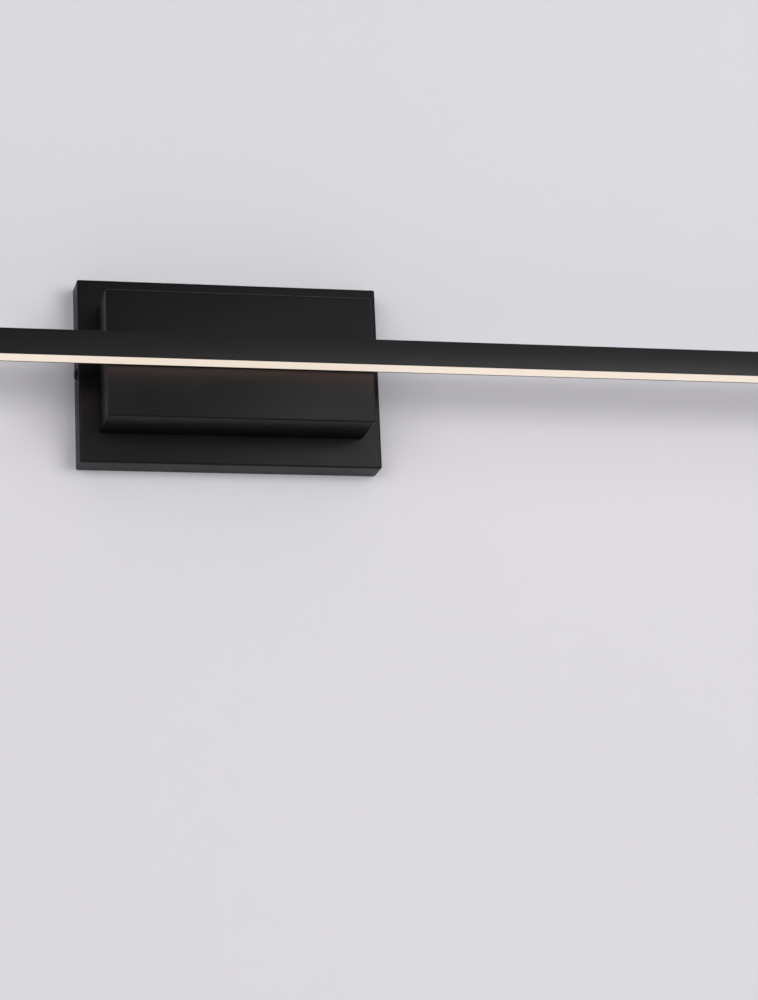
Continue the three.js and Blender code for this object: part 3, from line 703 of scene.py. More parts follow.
def group_metal_grain():
    """Drawn or rolled metal: fine lines along X, and cloudy plating"""
    tree, given, out = new_group(
        "metal_grain",
        (
            ("Color", "NodeSocketColor", (0.6, 0.6, 0.6, 1)),
            ("Roughness", "NodeSocketFloat", 0.35),
            ("Line Pitch", "NodeSocketFloat", 0.0004),
            ("Cloud", "NodeSocketFloat", 0.2),
        ),
        SKIN,
    )
    place = object_place(tree)
    stretched = add(
        tree, "ShaderNodeVectorMath", {0: place, 1: (0.02, 1.0, 1.0)}, operation="MULTIPLY"
    ).outputs[0]
    density = calculated(tree, "DIVIDE", 1.0, given["Line Pitch"])
    lines = noise(tree, stretched, density, 2.0)
    cloud = noise(tree, place, 160.0, 4.0)
    tree.links.new(lines, out["Height"])
    swing = calculated(tree, "ADD", swung(tree, cloud, given["Cloud"]), swung(tree, lines, 0.2))
    rough = calculated(tree, "ADD", given["Roughness"], swing)
    tree.links.new(rough, out["Roughness"])
    dull = mixed(tree, 0.55, given["Color"], (0.02, 0.02, 0.022, 1))
    shade = calculated(tree, "MULTIPLY", remapped(tree, cloud, 0.35, 0.7, 1.0, 0.0), given["Cloud"])
    tree.links.new(mixed(tree, shade, given["Color"], dull), out["Color"])
    return tree


def group_moulded_grain():
    """Moulded plastic or rubber: a spark-eroded skin with faint flow marks"""
    tree, given, out = new_group(
        "moulded_grain",
        (
            ("Color", "NodeSocketColor", (0.5, 0.5, 0.5, 1)),
            ("Roughness", "NodeSocketFloat", 0.5),
            ("Grain Size", "NodeSocketFloat", 0.0005),
        ),
        SKIN,
    )
    place = object_place(tree)
    density = calculated(tree, "DIVIDE", 1.0, given["Grain Size"])
    cells = add(
        tree, "ShaderNodeTexVoronoi", {"Vector": place, "Scale": density}, feature="SMOOTH_F1"
    ).outputs["Distance"]
    flow = noise(tree, place, 70.0, 3.0)
    tree.links.new(cells, out["Height"])
    rough = calculated(tree, "ADD", given["Roughness"], swung(tree, flow, 0.18))
    tree.links.new(rough, out["Roughness"])
    deep = mixed(tree, 0.4, given["Color"], (0.0, 0.0, 0.0, 1))
    shade = remapped(tree, flow, 0.35, 0.75, 0.25, 0.0)
    tree.links.new(mixed(tree, shade, given["Color"], deep), out["Color"])
    return tree


def group_settled_dust():
    """Dust on faces that look up: it lightens and dulls them in soft patches"""
    tree, given, out = new_group(
        "settled_dust",
        (
            ("Color", "NodeSocketColor", (0.02, 0.02, 0.02, 1)),
            ("Roughness", "NodeSocketFloat", 0.45),
            ("Amount", "NodeSocketFloat", 0.12),
        ),
        (("Color", "NodeSocketColor"), ("Roughness", "NodeSocketFloat")),
    )
    normal = add(tree, "ShaderNodeNewGeometry").outputs["Normal"]
    up = add(tree, "ShaderNodeSeparateXYZ", {0: normal}).outputs["Z"]
    facing = remapped(tree, up, 0.35, 0.95, 0.0, 1.0)
    patches = remapped(tree, noise(tree, object_place(tree), 90.0, 5.0), 0.35, 0.7, 0.3, 1.0)
    mask = calculated(tree, "MULTIPLY", calculated(tree, "MULTIPLY", facing, patches), given["Amount"])
    tree.links.new(mixed(tree, mask, given["Color"], (0.35, 0.33, 0.30, 1)), out["Color"])
    dull = calculated(tree, "ADD", given["Roughness"], calculated(tree, "MULTIPLY", mask, 0.4))
    tree.links.new(dull, out["Roughness"])
    return tree


GROUPS = {
    "coat_texture": group_coat_texture,
    "edge_wear": group_edge_wear,
    "metal_grain": group_metal_grain,
    "moulded_grain": group_moulded_grain,
    "settled_dust": group_settled_dust,
}


def use_group(tree, name, **inputs):
    """Places a shared group in a material; an input's underscores stand for spaces"""
    made = tree.nodes.new("ShaderNodeGroup")
    made.node_tree = bpy.data.node_groups.get(name) or GROUPS[name]()
    for label, value in inputs.items():
        socket = made.inputs[label.replace("_", " ")]
        if isinstance(value, bpy.types.NodeSocket):
            tree.links.new(value, socket)
        else:
            socket.default_value = value
    return made.outputs


# ---- Finishes ------------------------------------------------------------------------------------


def new_finish(name, **constants):
    """A material with one Principled shader; constants go straight on its sockets"""
    material = bpy.data.materials.new(f"{name}_finish")
    material.use_nodes = True
    tree = material.node_tree
    shader = tree.nodes["Principled BSDF"]
    for label, value in constants.items():
        shader.inputs[label.replace("_", " ")].default_value = value
    return material, tree, shader.inputs


def bumped(tree, height, distance):
    """A normal that a height tilts, over a distance in metres"""
    inputs = {"Height": height, "Distance": distance, "Strength": 1.0}
    return add(tree, "ShaderNodeBump", inputs).outputs["Normal"]


def opaque(colour):
    """A colour with its alpha"""
    return (*colour, 1)


def coated(name, colour, roughness, gloss, pebble, relief, wear, dust, lined=False):
    """Black paint on metal, rubbed at its edges, with a trace of dust on top"""
    worn = bpy.context.scene.light_bar_finishes.worn
    material, tree, shader = new_finish(name, Specular_IOR_Level=gloss)
    skin = use_group(
        tree, "coat_texture", Color=opaque(colour), Roughness=roughness, Pebble_Size=pebble
    )
    rubbed = use_group(
        tree, "edge_wear", Color=skin["Color"], Worn_Color=opaque(worn), Amount=wear
    )
    dusty = use_group(
        tree, "settled_dust", Color=rubbed["Color"], Roughness=skin["Roughness"], Amount=dust
    )
    height = skin["Height"]
    if lined:
        lines = use_group(tree, "metal_grain", Line_Pitch=0.5 * MM)
        height = calculated(tree, "ADD", height, calculated(tree, "MULTIPLY", lines["Height"], 0.8))
    tree.links.new(dusty["Color"], shader["Base Color"])
    tree.links.new(dusty["Roughness"], shader["Roughness"])
    tree.links.new(bumped(tree, height, relief), shader["Normal"])
    return material


def bare_metal(name, colour, roughness, cloud, metallic=1.0, wear=0.4):
    """Plated or polished metal with drawn lines, brighter where it is rubbed"""
    material, tree, shader = new_finish(name, Metallic=metallic)
    grain = use_group(
        tree, "metal_grain", Color=opaque(colour), Roughness=roughness, Cloud=cloud
    )
    bright = opaque(min(1.0, 1.35 * part + 0.05) for part in colour)
    rubbed = use_group(
        tree, "edge_wear", Color=grain["Color"], Worn_Color=bright, Width=0.4 * MM, Amount=wear
    )
    tree.links.new(rubbed["Color"], shader["Base Color"])
    tree.links.new(grain["Roughness"], shader["Roughness"])
    tree.links.new(bumped(tree, grain["Height"], 0.02 * MM), shader["Normal"])
    return material


def moulded(name, colour, roughness, grain, relief, wear=0.15, scatter=0.0):
    """Moulded plastic, rubber or wire insulation"""
    material, tree, shader = new_finish(name, Subsurface_Weight=scatter)
    skin = use_group(
        tree, "moulded_grain", Color=opaque(colour), Roughness=roughness, Grain_Size=grain
    )
    pale = opaque(0.7 * part + 0.12 for part in colour)
    rubbed = use_group(
        tree, "edge_wear", Color=skin["Color"], Worn_Color=pale, Width=0.3 * MM, Amount=wear
    )
    tree.links.new(rubbed["Color"], shader["Base Color"])
    tree.links.new(skin["Roughness"], shader["Roughness"])
    tree.links.new(bumped(tree, skin["Height"], relief), shader["Normal"])
    return material


def opal_finish(name):
    """Opal plastic, lit from behind by the row of LEDs: a trace brighter above each of them"""
    looks = bpy.context.scene.light_bar_finishes
    material, tree, shader = new_finish(name, Emission_Strength=looks.glow, Specular_IOR_Level=0.3)
    place = object_place(tree)
    skin = use_group(
        tree, "moulded_grain", Color=(0.03, 0.028, 0.026, 1), Roughness=0.6, Grain_Size=0.4 * MM
    )
    along_bar = add(tree, "ShaderNodeSeparateXYZ", {0: place}).outputs["X"]
    turns = calculated(tree, "MULTIPLY", along_bar, 2 * math.pi / LED_PITCH)
    ripple = calculated(tree, "COSINE", turns)
    level = remapped(tree, ripple, -1.0, 1.0, 0.985, 1.0)
    drift = remapped(tree, noise(tree, place, 30.0), 0, 1, 0.98, 1.0)
    level = calculated(tree, "MULTIPLY", level, drift)
    tree.links.new(skin["Color"], shader["Base Color"])
    tree.links.new(skin["Roughness"], shader["Roughness"])
    tree.links.new(bumped(tree, skin["Height"], 0.004 * MM), shader["Normal"])
    tree.links.new(
        mixed(tree, level, (0, 0, 0, 1), opaque(looks.lens)), shader["Emission Color"]
    )
    return material


def circuit_finish(name, mask, copper, trace_pitch):
    """Solder mask over copper: the tracks stand out as slightly raised, darker lanes"""
    material, tree, shader = new_finish(name, Coat_Weight=0.25)
    place = object_place(tree)
    spots = add(
        tree,
        "ShaderNodeTexBrick",
        {
            "Vector": place,
            "Color1": opaque(mask),
            "Color2": opaque(0.94 * part for part in mask),
            "Mortar": opaque(copper),
            "Scale": 1.0,
            "Mortar Size": 0.15 * MM,
            "Brick Width": 4 * trace_pitch,
            "Row Height": trace_pitch,
        },
    )
    skin = use_group(
        tree, "moulded_grain", Color=spots.outputs["Color"], Roughness=0.38, Grain_Size=0.3 * MM
    )
    height = calculated(tree, "SUBTRACT", skin["Height"], spots.outputs["Fac"])
    tree.links.new(skin["Color"], shader["Base Color"])
    tree.links.new(skin["Roughness"], shader["Roughness"])
    tree.links.new(bumped(tree, height, 0.03 * MM), shader["Normal"])
    return material


def finish(name):
    """A finish by its name, made when it is first needed"""
    looks = bpy.context.scene.light_bar_finishes
    recipes = {
        "coat": (coated, looks.coat, looks.coat_roughness, 0.17, 0.8 * MM, 0.02 * MM, 0.15, 0.05),
        "bar_coat": (
            coated, looks.bar, looks.bar_roughness, 0.21, 0.6 * MM, 0.012 * MM, 0.15, 0.05, True
        ),
        "screw_black": (coated, (0.006, 0.006, 0.0062), 0.34, 0.25, 0.4 * MM, 0.006 * MM, 0.6, 0.03),
        "zinc_steel": (bare_metal, (0.62, 0.64, 0.66), 0.34, 0.22),
        "screw_steel": (bare_metal, (0.58, 0.57, 0.55), 0.28, 0.25),
        "brass": (bare_metal, (0.72, 0.52, 0.24), 0.3, 0.3),
        "ground_green": (bare_metal, (0.015, 0.21, 0.05), 0.36, 0.4, 0.6),
        "can": (bare_metal, (0.70, 0.71, 0.72), 0.22, 0.1),
        "opal": (opal_finish,),
        "board_white": (circuit_finish, (0.80, 0.80, 0.77), (0.70, 0.68, 0.60), 2.7 * MM),
        "board_green": (circuit_finish, (0.02, 0.16, 0.06), (0.03, 0.24, 0.08), 1.9 * MM),
        "phosphor": (moulded, (0.85, 0.62, 0.10), 0.35, 0.15 * MM, 0.005 * MM),
        "tape": (moulded, (0.33, 0.34, 0.36), 0.85, 0.5 * MM, 0.03 * MM),
        "white_plastic": (moulded, (0.74, 0.73, 0.69), 0.42, 0.35 * MM, 0.006 * MM, 0.15, 0.05),
        "driver_plastic": (moulded, (0.018, 0.018, 0.019), 0.5, 0.5 * MM, 0.02 * MM, 0.3),
        "label": (moulded, (0.55, 0.55, 0.54), 0.5, 0.8 * MM, 0.003 * MM),
        "winding": (moulded, (0.72, 0.50, 0.05), 0.32, 1.2 * MM, 0.02 * MM),
        "ferrite": (moulded, (0.03, 0.03, 0.032), 0.7, 0.3 * MM, 0.02 * MM, 0.4),
        "sleeve": (moulded, (0.012, 0.02, 0.06), 0.3, 0.9 * MM, 0.004 * MM),
        "rubber": (moulded, (0.016, 0.016, 0.016), 0.68, 0.45 * MM, 0.02 * MM),
        "wire_black": (moulded, (0.014, 0.014, 0.015), 0.38, 0.6 * MM, 0.01 * MM),
        "wire_white": (moulded, (0.72, 0.72, 0.69), 0.4, 0.6 * MM, 0.01 * MM),
        "wire_green": (moulded, (0.02, 0.26, 0.05), 0.4, 0.6 * MM, 0.01 * MM),
        "wire_red": (moulded, (0.48, 0.015, 0.012), 0.4, 0.6 * MM, 0.01 * MM),
    }
    maker, *values = recipes[name]
    return bpy.data.materials.get(f"{name}_finish") or maker(name, *values)


# ---- Sheet metal ---------------------------------------------------------------------------------


def folded_pan(low, high, fold):
    """A pan of folded sheet, open at its back, between two corners"""
    outside = round_edges(block(low, high), fold, off_plane(1, high.y))
    inner_low = low + Vector((SHEET, SHEET, SHEET))
    inner_high = high + Vector((-SHEET, SHEET, -SHEET))
    inside = block(inner_low, inner_high)
    return cut(outside, [round_edges(inside, 0.3 * fold, off_plane(1, inner_high.y), segments=2)])


def screw_form(node):
    """Head height and shank radius of a screw; the first two words of its name are its kind"""
    return SCREW_FORMS["_".join(node.split("_")[:2])]


def hole_for(node, depth, play=SHANK_PLAY):
    """The rod that a screw's hole takes out of a sheet, for a screw that runs along Y"""
    return drill(middle(node), depth, screw_form(node)[1] + play, 24)


def bar_holes(depth):
    """The holes that line up in the housing and the bar, for the bar's screws and the grommet"""
    tools = [hole_for(f"bar_screw_{side}", depth) for side in SIDES]
    return [*tools, drill(middle("wire_grommet"), depth, GROMMET_HOLE / 2)]


class LIGHTBAR_OT_backplate(bpy.types.Operator):
    """Backplate: a folded and powder-coated pan with its window, punched holes and side slots"""

    bl_idname = "lightbar.backplate"
    bl_label = "Backplate"

    def execute(self, context):
        forms = context.scene.light_bar_forms
        low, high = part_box("backplate")
        depth = (low.y - SHEET, low.y + 3 * SHEET)
        case_low, case_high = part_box("driver_case")
        window = soft_block(
            (case_low.x - DRIVER_WINDOW, depth[0], case_low.z - DRIVER_WINDOW),
            (case_high.x + DRIVER_WINDOW, depth[1], case_high.z + DRIVER_WINDOW),
            1.5 * MM,
            1,
        )
        tools = [window, drill(middle("wire_bushing"), depth, BUSHING_HOLE / 2)]
        driver_screws = [f"driver_screw_{side}" for side in SIDES]
        for node in [*HOUSING_SCREWS, *driver_screws, "earth_screw", "terminal_screw"]:
            tools.append(hole_for(node, depth))
        reach = SCREW_FORMS["side_screw"][1] + SHANK_PLAY
        for side in SIDES:
            screw_place = middle(f"side_screw_{side}")
            slot = [
                (screw_place.y - reach, -reach, ROUND * reach),
                (screw_place.y - reach, reach, ROUND * reach),
                (high.y + SHEET, reach, 0),
                (high.y + SHEET, -reach, 0),
            ]
            inner = screw_place.x - SIDE_SLOT_CUT / 2
            tools.append(
                extruded(
                    [rounded(slot, 8)], lambda y, z, x=inner: (x, y, z), (SIDE_SLOT_CUT, 0, 0)
                )
            )
        pan = cut(folded_pan(low, high, forms.fold), tools)
        shown("backplate_pan", pan, ["coat"], ["backplate"], forms.broken_edge)
        return {"FINISHED"}


class LIGHTBAR_OT_housing(bpy.types.Operator):
    """Driver housing: a folded box with its screw tabs and the holes behind the bar"""

    bl_idname = "lightbar.housing"
    bl_label = "Driver housing"

    def execute(self, context):
        forms = context.scene.light_bar_forms
        low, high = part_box("driver_housing")
        tabs = []
        for node in HOUSING_SCREWS:
            place = middle(node)
            side = math.copysign(1, place.z)
            tip = place.z - side * TAB_REACH / 2
            tab = block(
                (place.x - TAB_WIDTH / 2, high.y - SHEET, side * (high.z - SHEET / 2)),
                (place.x + TAB_WIDTH / 2, high.y, tip),
            )
            at_tip = in_plane(2, tip)
            tabs.append(
                round_edges(tab, 2 * MM, lambda edge, at_tip=at_tip: along(1)(edge) and at_tip(edge))
            )
        box = united(folded_pan(low, high, forms.fold), tabs)
        back = (high.y - 2 * SHEET, high.y + SHEET)
        front = (low.y - SHEET, low.y + 2 * SHEET)
        box = cut(box, [hole_for(node, back) for node in HOUSING_SCREWS] + bar_holes(front))
        shown("housing_box", box, ["coat"], ["driver_housing"], forms.broken_edge)
        return {"FINISHED"}


class LIGHTBAR_OT_bracket(bpy.types.Operator):
    """Mounting bracket: a plated strip with bent ears, box screw slots and a wire hole"""

    bl_idname = "lightbar.bracket"
    bl_label = "Mounting bracket"

    def execute(self, context):
        forms = context.scene.light_bar_forms
        low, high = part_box("mounting_bracket")
        front = high.y - BRACKET_SHEET
        inside = high.x - BRACKET_SHEET
        right = [
            (inside, front, BRACKET_BEND - BRACKET_SHEET),
            (inside, low.y, 0.3 * MM),
            (high.x, low.y, 0.3 * MM),
            (high.x, high.y, BRACKET_BEND),
        ]
        strip = extruded(
            [rounded([*right, *mirrored(right)], 6)],
            lambda x, y: (x, y, low.z),
            (0, 0, high.z - low.z),
        )
        far, beyond = high.x + CLEAR, high.z + CLEAR
        cheek = rounded(
            [
                (BRACKET_SHOULDER - CLEAR, beyond, 0),
                (BRACKET_SHOULDER - CLEAR, high.z + 0.01 * MM, 0),
                (BRACKET_SHOULDER, high.z, 3 * MM),
                (BRACKET_SHOULDER + BRACKET_TAPER, BRACKET_EAR / 2, 3 * MM),
                (far, BRACKET_EAR / 2, 0),
                (far, beyond, 0),
            ]
        )
        least, most, width = BOX_SLOT
        slot = slot_outline((least - width) / 2, (most + width) / 2, 0, width / 2)
        deep = (low.y - CLEAR, high.y + CLEAR)
        flat = (front - 2 * MM, high.y + 2 * MM)
        screw_y = middle("side_screw_left").y
        tapped = SCREW_FORMS["side_screw"][1] + TAPPED_PLAY
        tools = []
        for side in SIDES.values():
            tools += [through([cheek], deep, side, z_side) for z_side in (-1, 1)]
            tools.append(through([slot], flat, side))
            ear = (side * (inside - 3 * MM), side * (high.x + 3 * MM))
            tools.append(rod((ear[0], screw_y, 0), (ear[1], screw_y, 0), tapped, 24))
        tools.append(drill(Vector(), flat, WIRE_HOLE / 2, 48))
        tools.append(hole_for("ground_screw", flat, TAPPED_PLAY))
        shown(
            "bracket_strip", cut(strip, tools), ["zinc_steel"], ["mounting_bracket"],
            forms.broken_edge,
        )
        return {"FINISHED"}


# ---- Bar -----------------------------------------------------------------------------------------


def bar_frame():
    """Middle, half depth and half height of the bar's section, which runs along X"""
    low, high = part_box("end_cap_left")
    return (low + high) / 2, (high.y - low.y) / 2, (high.z - low.z) / 2


def drawn_along(node, outlines):
    """Outlines of the bar's section, drawn out over the length of a CAD node"""
    low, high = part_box(node)
    depth = bar_frame()[0].y
    return extruded(outlines, lambda y, z: (low.x, depth + y, z), (high.x - low.x, 0, 0))


def feed_place():
    """Where the LED wires drop to the boards"""
    ends = [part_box(node)[1].x for node in ("positive_wire", "negative_wire")]
    return (sum(ends) - LED_WIRE) / 2


def feed_cut(low_z, high_z):
    """The slot for the LED wires, through the web and the middle board, from their back edge"""
    centre, half_depth, _ = bar_frame()
    x = feed_place()
    back = centre.y + half_depth - BAR_WALL
    front = back - FEED_INSET - LED_WIRE / 2 - GAP
    return block((x - FEED_WIDTH / 2, front, low_z), (x + FEED_WIDTH / 2, back, high_z))


class LIGHTBAR_OT_bar(bpy.types.Operator):
    """Bar: an extrusion with its wire channel, screw port and snap ridges"""

    bl_idname = "lightbar.bar"
    bl_label = "Bar"

    def execute(self, context):
        forms = context.scene.light_bar_forms
        centre, half_depth, half_height = bar_frame()
        inner = half_depth - BAR_WALL
        rim = half_depth - BAR_RIM
        reach, ridge_height, rise = RIDGE
        strip_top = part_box("bar_lens")[0].z + LENS_THICKNESS
        rebate = strip_top + GAP
        ridge_floor = strip_top + rise
        ridge_top = ridge_floor + ridge_height
        channel_top = half_height - BAR_WALL
        channel_floor = channel_top - CHANNEL_HEIGHT
        web = channel_floor - BAR_WALL
        outside = [
            (rim, rebate, 0),
            (rim, -half_height, 0.12 * MM),
            (half_depth, -half_height, 0.3 * MM),
            (half_depth, half_height, forms.bar_edge),
        ]
        inside = [
            (inner, web, 0.2 * MM),
            (inner, ridge_top, 0),
            (inner - reach, ridge_top, 0.1 * MM),
            (inner - reach, ridge_floor, 0.1 * MM),
            (inner, ridge_floor, 0),
            (inner, rebate, 0),
        ]
        section = rounded([*outside, *mirrored(outside), *mirrored(inside), *inside])
        port = channel_top - PORT_DROP - PORT_RADIUS
        boss = PORT_RADIUS + PORT_WALL
        start = math.asin((channel_top - port) / boss)
        steps = 18
        turns = [start - (math.pi + 2 * start) * i / steps for i in range(steps + 1)]
        channel = [
            (-inner, channel_floor),
            (inner, channel_floor),
            (inner, channel_top),
            *((boss * math.cos(a), port + boss * math.sin(a)) for a in turns),
            (-inner, channel_top),
        ]
        bar = drawn_along("bar_channel", [section, channel, circle(PORT_RADIUS, 24, (0, port))])
        rear_wall = (centre.y + inner - 0.5 * MM, centre.y + half_depth + MM)
        bar = cut(bar, [*bar_holes(rear_wall), feed_cut(web - 0.5 * MM, channel_floor + 0.5 * MM)])
        shown("bar_extrusion", bar, ["bar_coat"], ["bar_channel"])
        return {"FINISHED"}


class LIGHTBAR_OT_lens(bpy.types.Operator):
    """Lens: an opal strip with barbed snap legs"""

    bl_idname = "lightbar.lens"
    bl_label = "Lens"

    def execute(self, context):
        low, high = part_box("bar_lens")
        half = (high.y - low.y) / 2
        strip_top = low.z + LENS_THICKNESS
        leg = bar_frame()[1] - BAR_WALL - RIDGE[0] - GAP
        barb_floor = high.z - BARB_HEIGHT
        right = [
            (half, low.z, 0.25 * MM),
            (half, strip_top, 0.15 * MM),
            (leg, strip_top, 0),
            (leg, barb_floor, 0),
            (leg + RIDGE[0], barb_floor, 0.08 * MM),
            (leg, high.z, 0.1 * MM),
            (leg - LENS_LEG, high.z, 0.1 * MM),
            (leg - LENS_LEG, strip_top, 0.2 * MM),
        ]
        lens = drawn_along("bar_lens", [rounded([*right, *mirrored(right)])])
        shown("opal_lens", lens, ["opal"], ["bar_lens"])
        return {"FINISHED"}


class LIGHTBAR_OT_end_caps(bpy.types.Operator):
    """End caps: cast plates with a rounded rim, a counterbored screw hole and a spigot"""

    bl_idname = "lightbar.end_caps"
    bl_label = "End caps"

    def execute(self, context):
        forms = context.scene.light_bar_forms
        head_height, shank = SCREW_FORMS["cap_screw"]
        for name, side in SIDES.items():
            low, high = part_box(f"end_cap_{name}")
            centre = (low + high) / 2
            face, tip = (high.x, low.x) if side > 0 else (low.x, high.x)
            seat = face - side * CAP_THICKNESS
            plate = soft_block((seat, low.y, low.z), (face, high.y, high.z), forms.bar_edge, 0)
            plate = round_edges(plate, 0.35 * MM, in_plane(0, face), segments=3)
            inner = (high.y - low.y) / 2 - BAR_WALL - SHANK_PLAY
            floor = high.z - BAR_WALL - CHANNEL_HEIGHT + SHANK_PLAY
            spigot = soft_block(
                (tip, centre.y - inner, floor),
                (seat + side * CAP_THICKNESS / 2, centre.y + inner, floor + SPIGOT_HEIGHT),
                0.4 * MM,
                segments=2,
            )
            head_low, head_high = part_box(f"cap_screw_{name}")
            _, y, z = (head_low + head_high) / 2
            head_radius = (head_high.z - head_low.z) / 2 + SHANK_PLAY
            outside = face + side * MM
            sunk = face - side * (head_height + GAP)
            tools = [
                rod((seat - side * MM, y, z), (outside, y, z), shank + SHANK_PLAY, 24),
                rod((sunk, y, z), (outside, y, z), head_radius, 32),
            ]
            plate = cut(united(plate, [spigot]), tools)
            shown(f"end_plate_{name}", plate, ["bar_coat"], [f"end_cap_{name}"])
        return {"FINISHED"}


# ---- Screws --------------------------------------------------------------------------------------


def threaded_shank(radius, length, pitch, sides=20):
    """A shank along Z with a helical thread and a chamfered tip"""
    depth = 0.13 * radius
    steps = max(8, int(length / pitch * 6))
    shape = bmesh.new()
    rings = []
    for step in range(steps + 1):
        height = length * step / steps
        ring = []
        for i in range(sides):
            turn = 2 * math.pi * i / sides
            phase = (height / pitch - i / sides) % 1
            groove = abs(2 * phase - 1)
            here = radius - depth * groove
            here = min(here, radius - max(0.0, height - (length - radius / 3)) * 0.9)
            ring.append(shape.verts.new((here * math.cos(turn), here * math.sin(turn), height)))
        rings.append(ring)
    for lower, upper in zip(rings, rings[1:]):
        for i in range(sides):
            j = (i + 1) % sides
            shape.faces.new((lower[i], lower[j], upper[j], upper[i]))
    shape.faces.new(reversed(rings[0]))
    shape.faces.new(rings[-1])
    bmesh.ops.recalc_face_normals(shape, faces=shape.faces)
    return shape


def cross_recess(reach, width, top, depth):
    """A tapering cross, the shape that a screwdriver leaves"""
    corners = [
        (reach, width), (width, width), (width, reach), (-width, reach),
        (-width, width), (-reach, width), (-reach, -width), (-width, -width),
        (-width, -reach), (width, -reach), (width, -width), (reach, -width),
    ]
    shape = bmesh.new()
    rings = []
    for scale, height in ((1.15, top - 0.4 * MM), (1.0, top), (0.45, top + depth)):
        rings.append([shape.verts.new((scale * x, scale * y, height)) for x, y in corners])
    for upper, lower in zip(rings, rings[1:]):
        for i in range(12):
            j = (i + 1) % 12
            shape.faces.new((upper[i], upper[j], lower[j], lower[i]))
    shape.faces.new(rings[0])
    shape.faces.new(rings[-1])
    bmesh.ops.recalc_face_normals(shape, faces=shape.faces)
    return shape


def pan_head(radius, height, sides):
    """A pan head with a cross recess, above the plane Z = 0"""
    profile = [
        (0, -height),
        (0.50 * radius, -height),
        (0.74 * radius, -0.93 * height),
        (0.90 * radius, -0.74 * height),
        (0.98 * radius, -0.48 * height),
        (radius, -0.25 * height),
        (0.985 * radius, -0.04 * height),
        (0.96 * radius, 0),
        (0, 0),
    ]
    head = turned(profile, sides)
    recess = cross_recess(0.52 * radius, 0.13 * radius, -height, 0.62 * height)
    return cut(head, [recess])


def hex_head(radius, height, sides):
    """A slotted hexagon head on a washer, above the plane Z = 0"""
    washer = turned(
        [
            (0, -0.32 * height),
            (0.9 * radius, -0.32 * height),
            (radius, -0.2 * height),
            (radius, 0),
            (0, 0),
        ],
        sides,
    )
    flats = turned(
        [
            (0, -height),
            (0.62 * radius, -height),
            (0.74 * radius, -0.86 * height),
            (0.74 * radius, -0.2 * height),
            (0, -0.2 * height),
        ],
        6,
    )
    slot = block(
        (-2 * radius, -0.09 * radius, -1.5 * height), (2 * radius, 0.09 * radius, -0.5 * height)
    )
    return cut(united(washer, [flats]), [slot])


def screw(node, head_form, slot, heading):
    """A screw in place of a CAD node; heading is the way its tip points"""
    forms = bpy.context.scene.light_bar_forms
    low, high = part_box(node)
    head_height, shank = screw_form(node)
    axis = max(range(3), key=lambda i: abs(heading[i]))
    seat = (low + high) / 2
    seat[axis] = (low if heading[axis] > 0 else high)[axis] + heading[axis] * head_height
    pitch = min(forms.thread_pitch, 0.4 * shank)
    shape = joined(
        [
            head_form((high.z - low.z) / 2, head_height, forms.sides),
            threaded_shank(shank, high[axis] - low[axis] - head_height, pitch),
        ]
    )
    shown(f"{node}_cut", placed(shape, seat, heading), [slot], [node])


class LIGHTBAR_OT_screws(bpy.types.Operator):
    """Screws: recessed pan heads and a slotted ground screw, all with cut threads"""

    bl_idname = "lightbar.screws"
    bl_label = "Screws"

    def execute(self, context):
        for name, side in SIDES.items():
            for kind in ("side_screw", "cap_screw"):
                screw(f"{kind}_{name}", pan_head, "screw_black", (-side, 0, 0))
            for kind in ("bar_screw", "driver_screw"):
                screw(f"{kind}_{name}", pan_head, "screw_steel", (0, -1, 0))
        for node in [*HOUSING_SCREWS, "terminal_screw", "earth_screw"]:
            screw(node, pan_head, "screw_steel", (0, -1, 0))
        screw("ground_screw", hex_head, "ground_green", (0, 1, 0))
        return {"FINISHED"}


class LIGHTBAR_OT_bar_fixings(bpy.types.Operator):
    """Bar fixings: the tapped nut strip in the bar and the washers in the housing"""

    bl_idname = "lightbar.bar_fixings"
    bl_label = "Bar fixings"

    def execute(self, context):
        forms = context.scene.light_bar_forms
        low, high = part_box("bar_nut_strip")
        start, length = low.y - MM, high.y - low.y + 2 * MM
        hole = SCREW_FORMS["bar_screw"][1] + SHANK_PLAY
        tools = []
        for side in SIDES:
            place = middle(f"bar_screw_{side}")
            tapped = threaded_shank(hole, length, forms.thread_pitch)
            tools.append(placed(tapped, (place.x, start, place.z), (0, 1, 0)))
        strip = cut(soft_block(low, high, 0.8 * MM, 1), tools)
        shown("nut_strip", strip, ["zinc_steel"], ["bar_nut_strip"])
        soft = 0.15 * MM
        for side in SIDES:
            node = f"bar_washer_{side}"
            low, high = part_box(node)
            outer = (high.x - low.x) / 2
            half = (high.y - low.y) / 2
            ring = [
                (hole, -half),
                (outer - soft, -half),
                (outer, soft - half),
                (outer, half - soft),
                (outer - soft, half),
                (hole + soft, half),
                (hole, half - soft),
                (hole, -half),
            ]
            washer = placed(turned(ring, forms.sides), (low + high) / 2, (0, -1, 0))
            shown(f"washer_{side}", washer, ["screw_steel"], [node])
        return {"FINISHED"}


# ---- Driver --------------------------------------------------------------------------------------


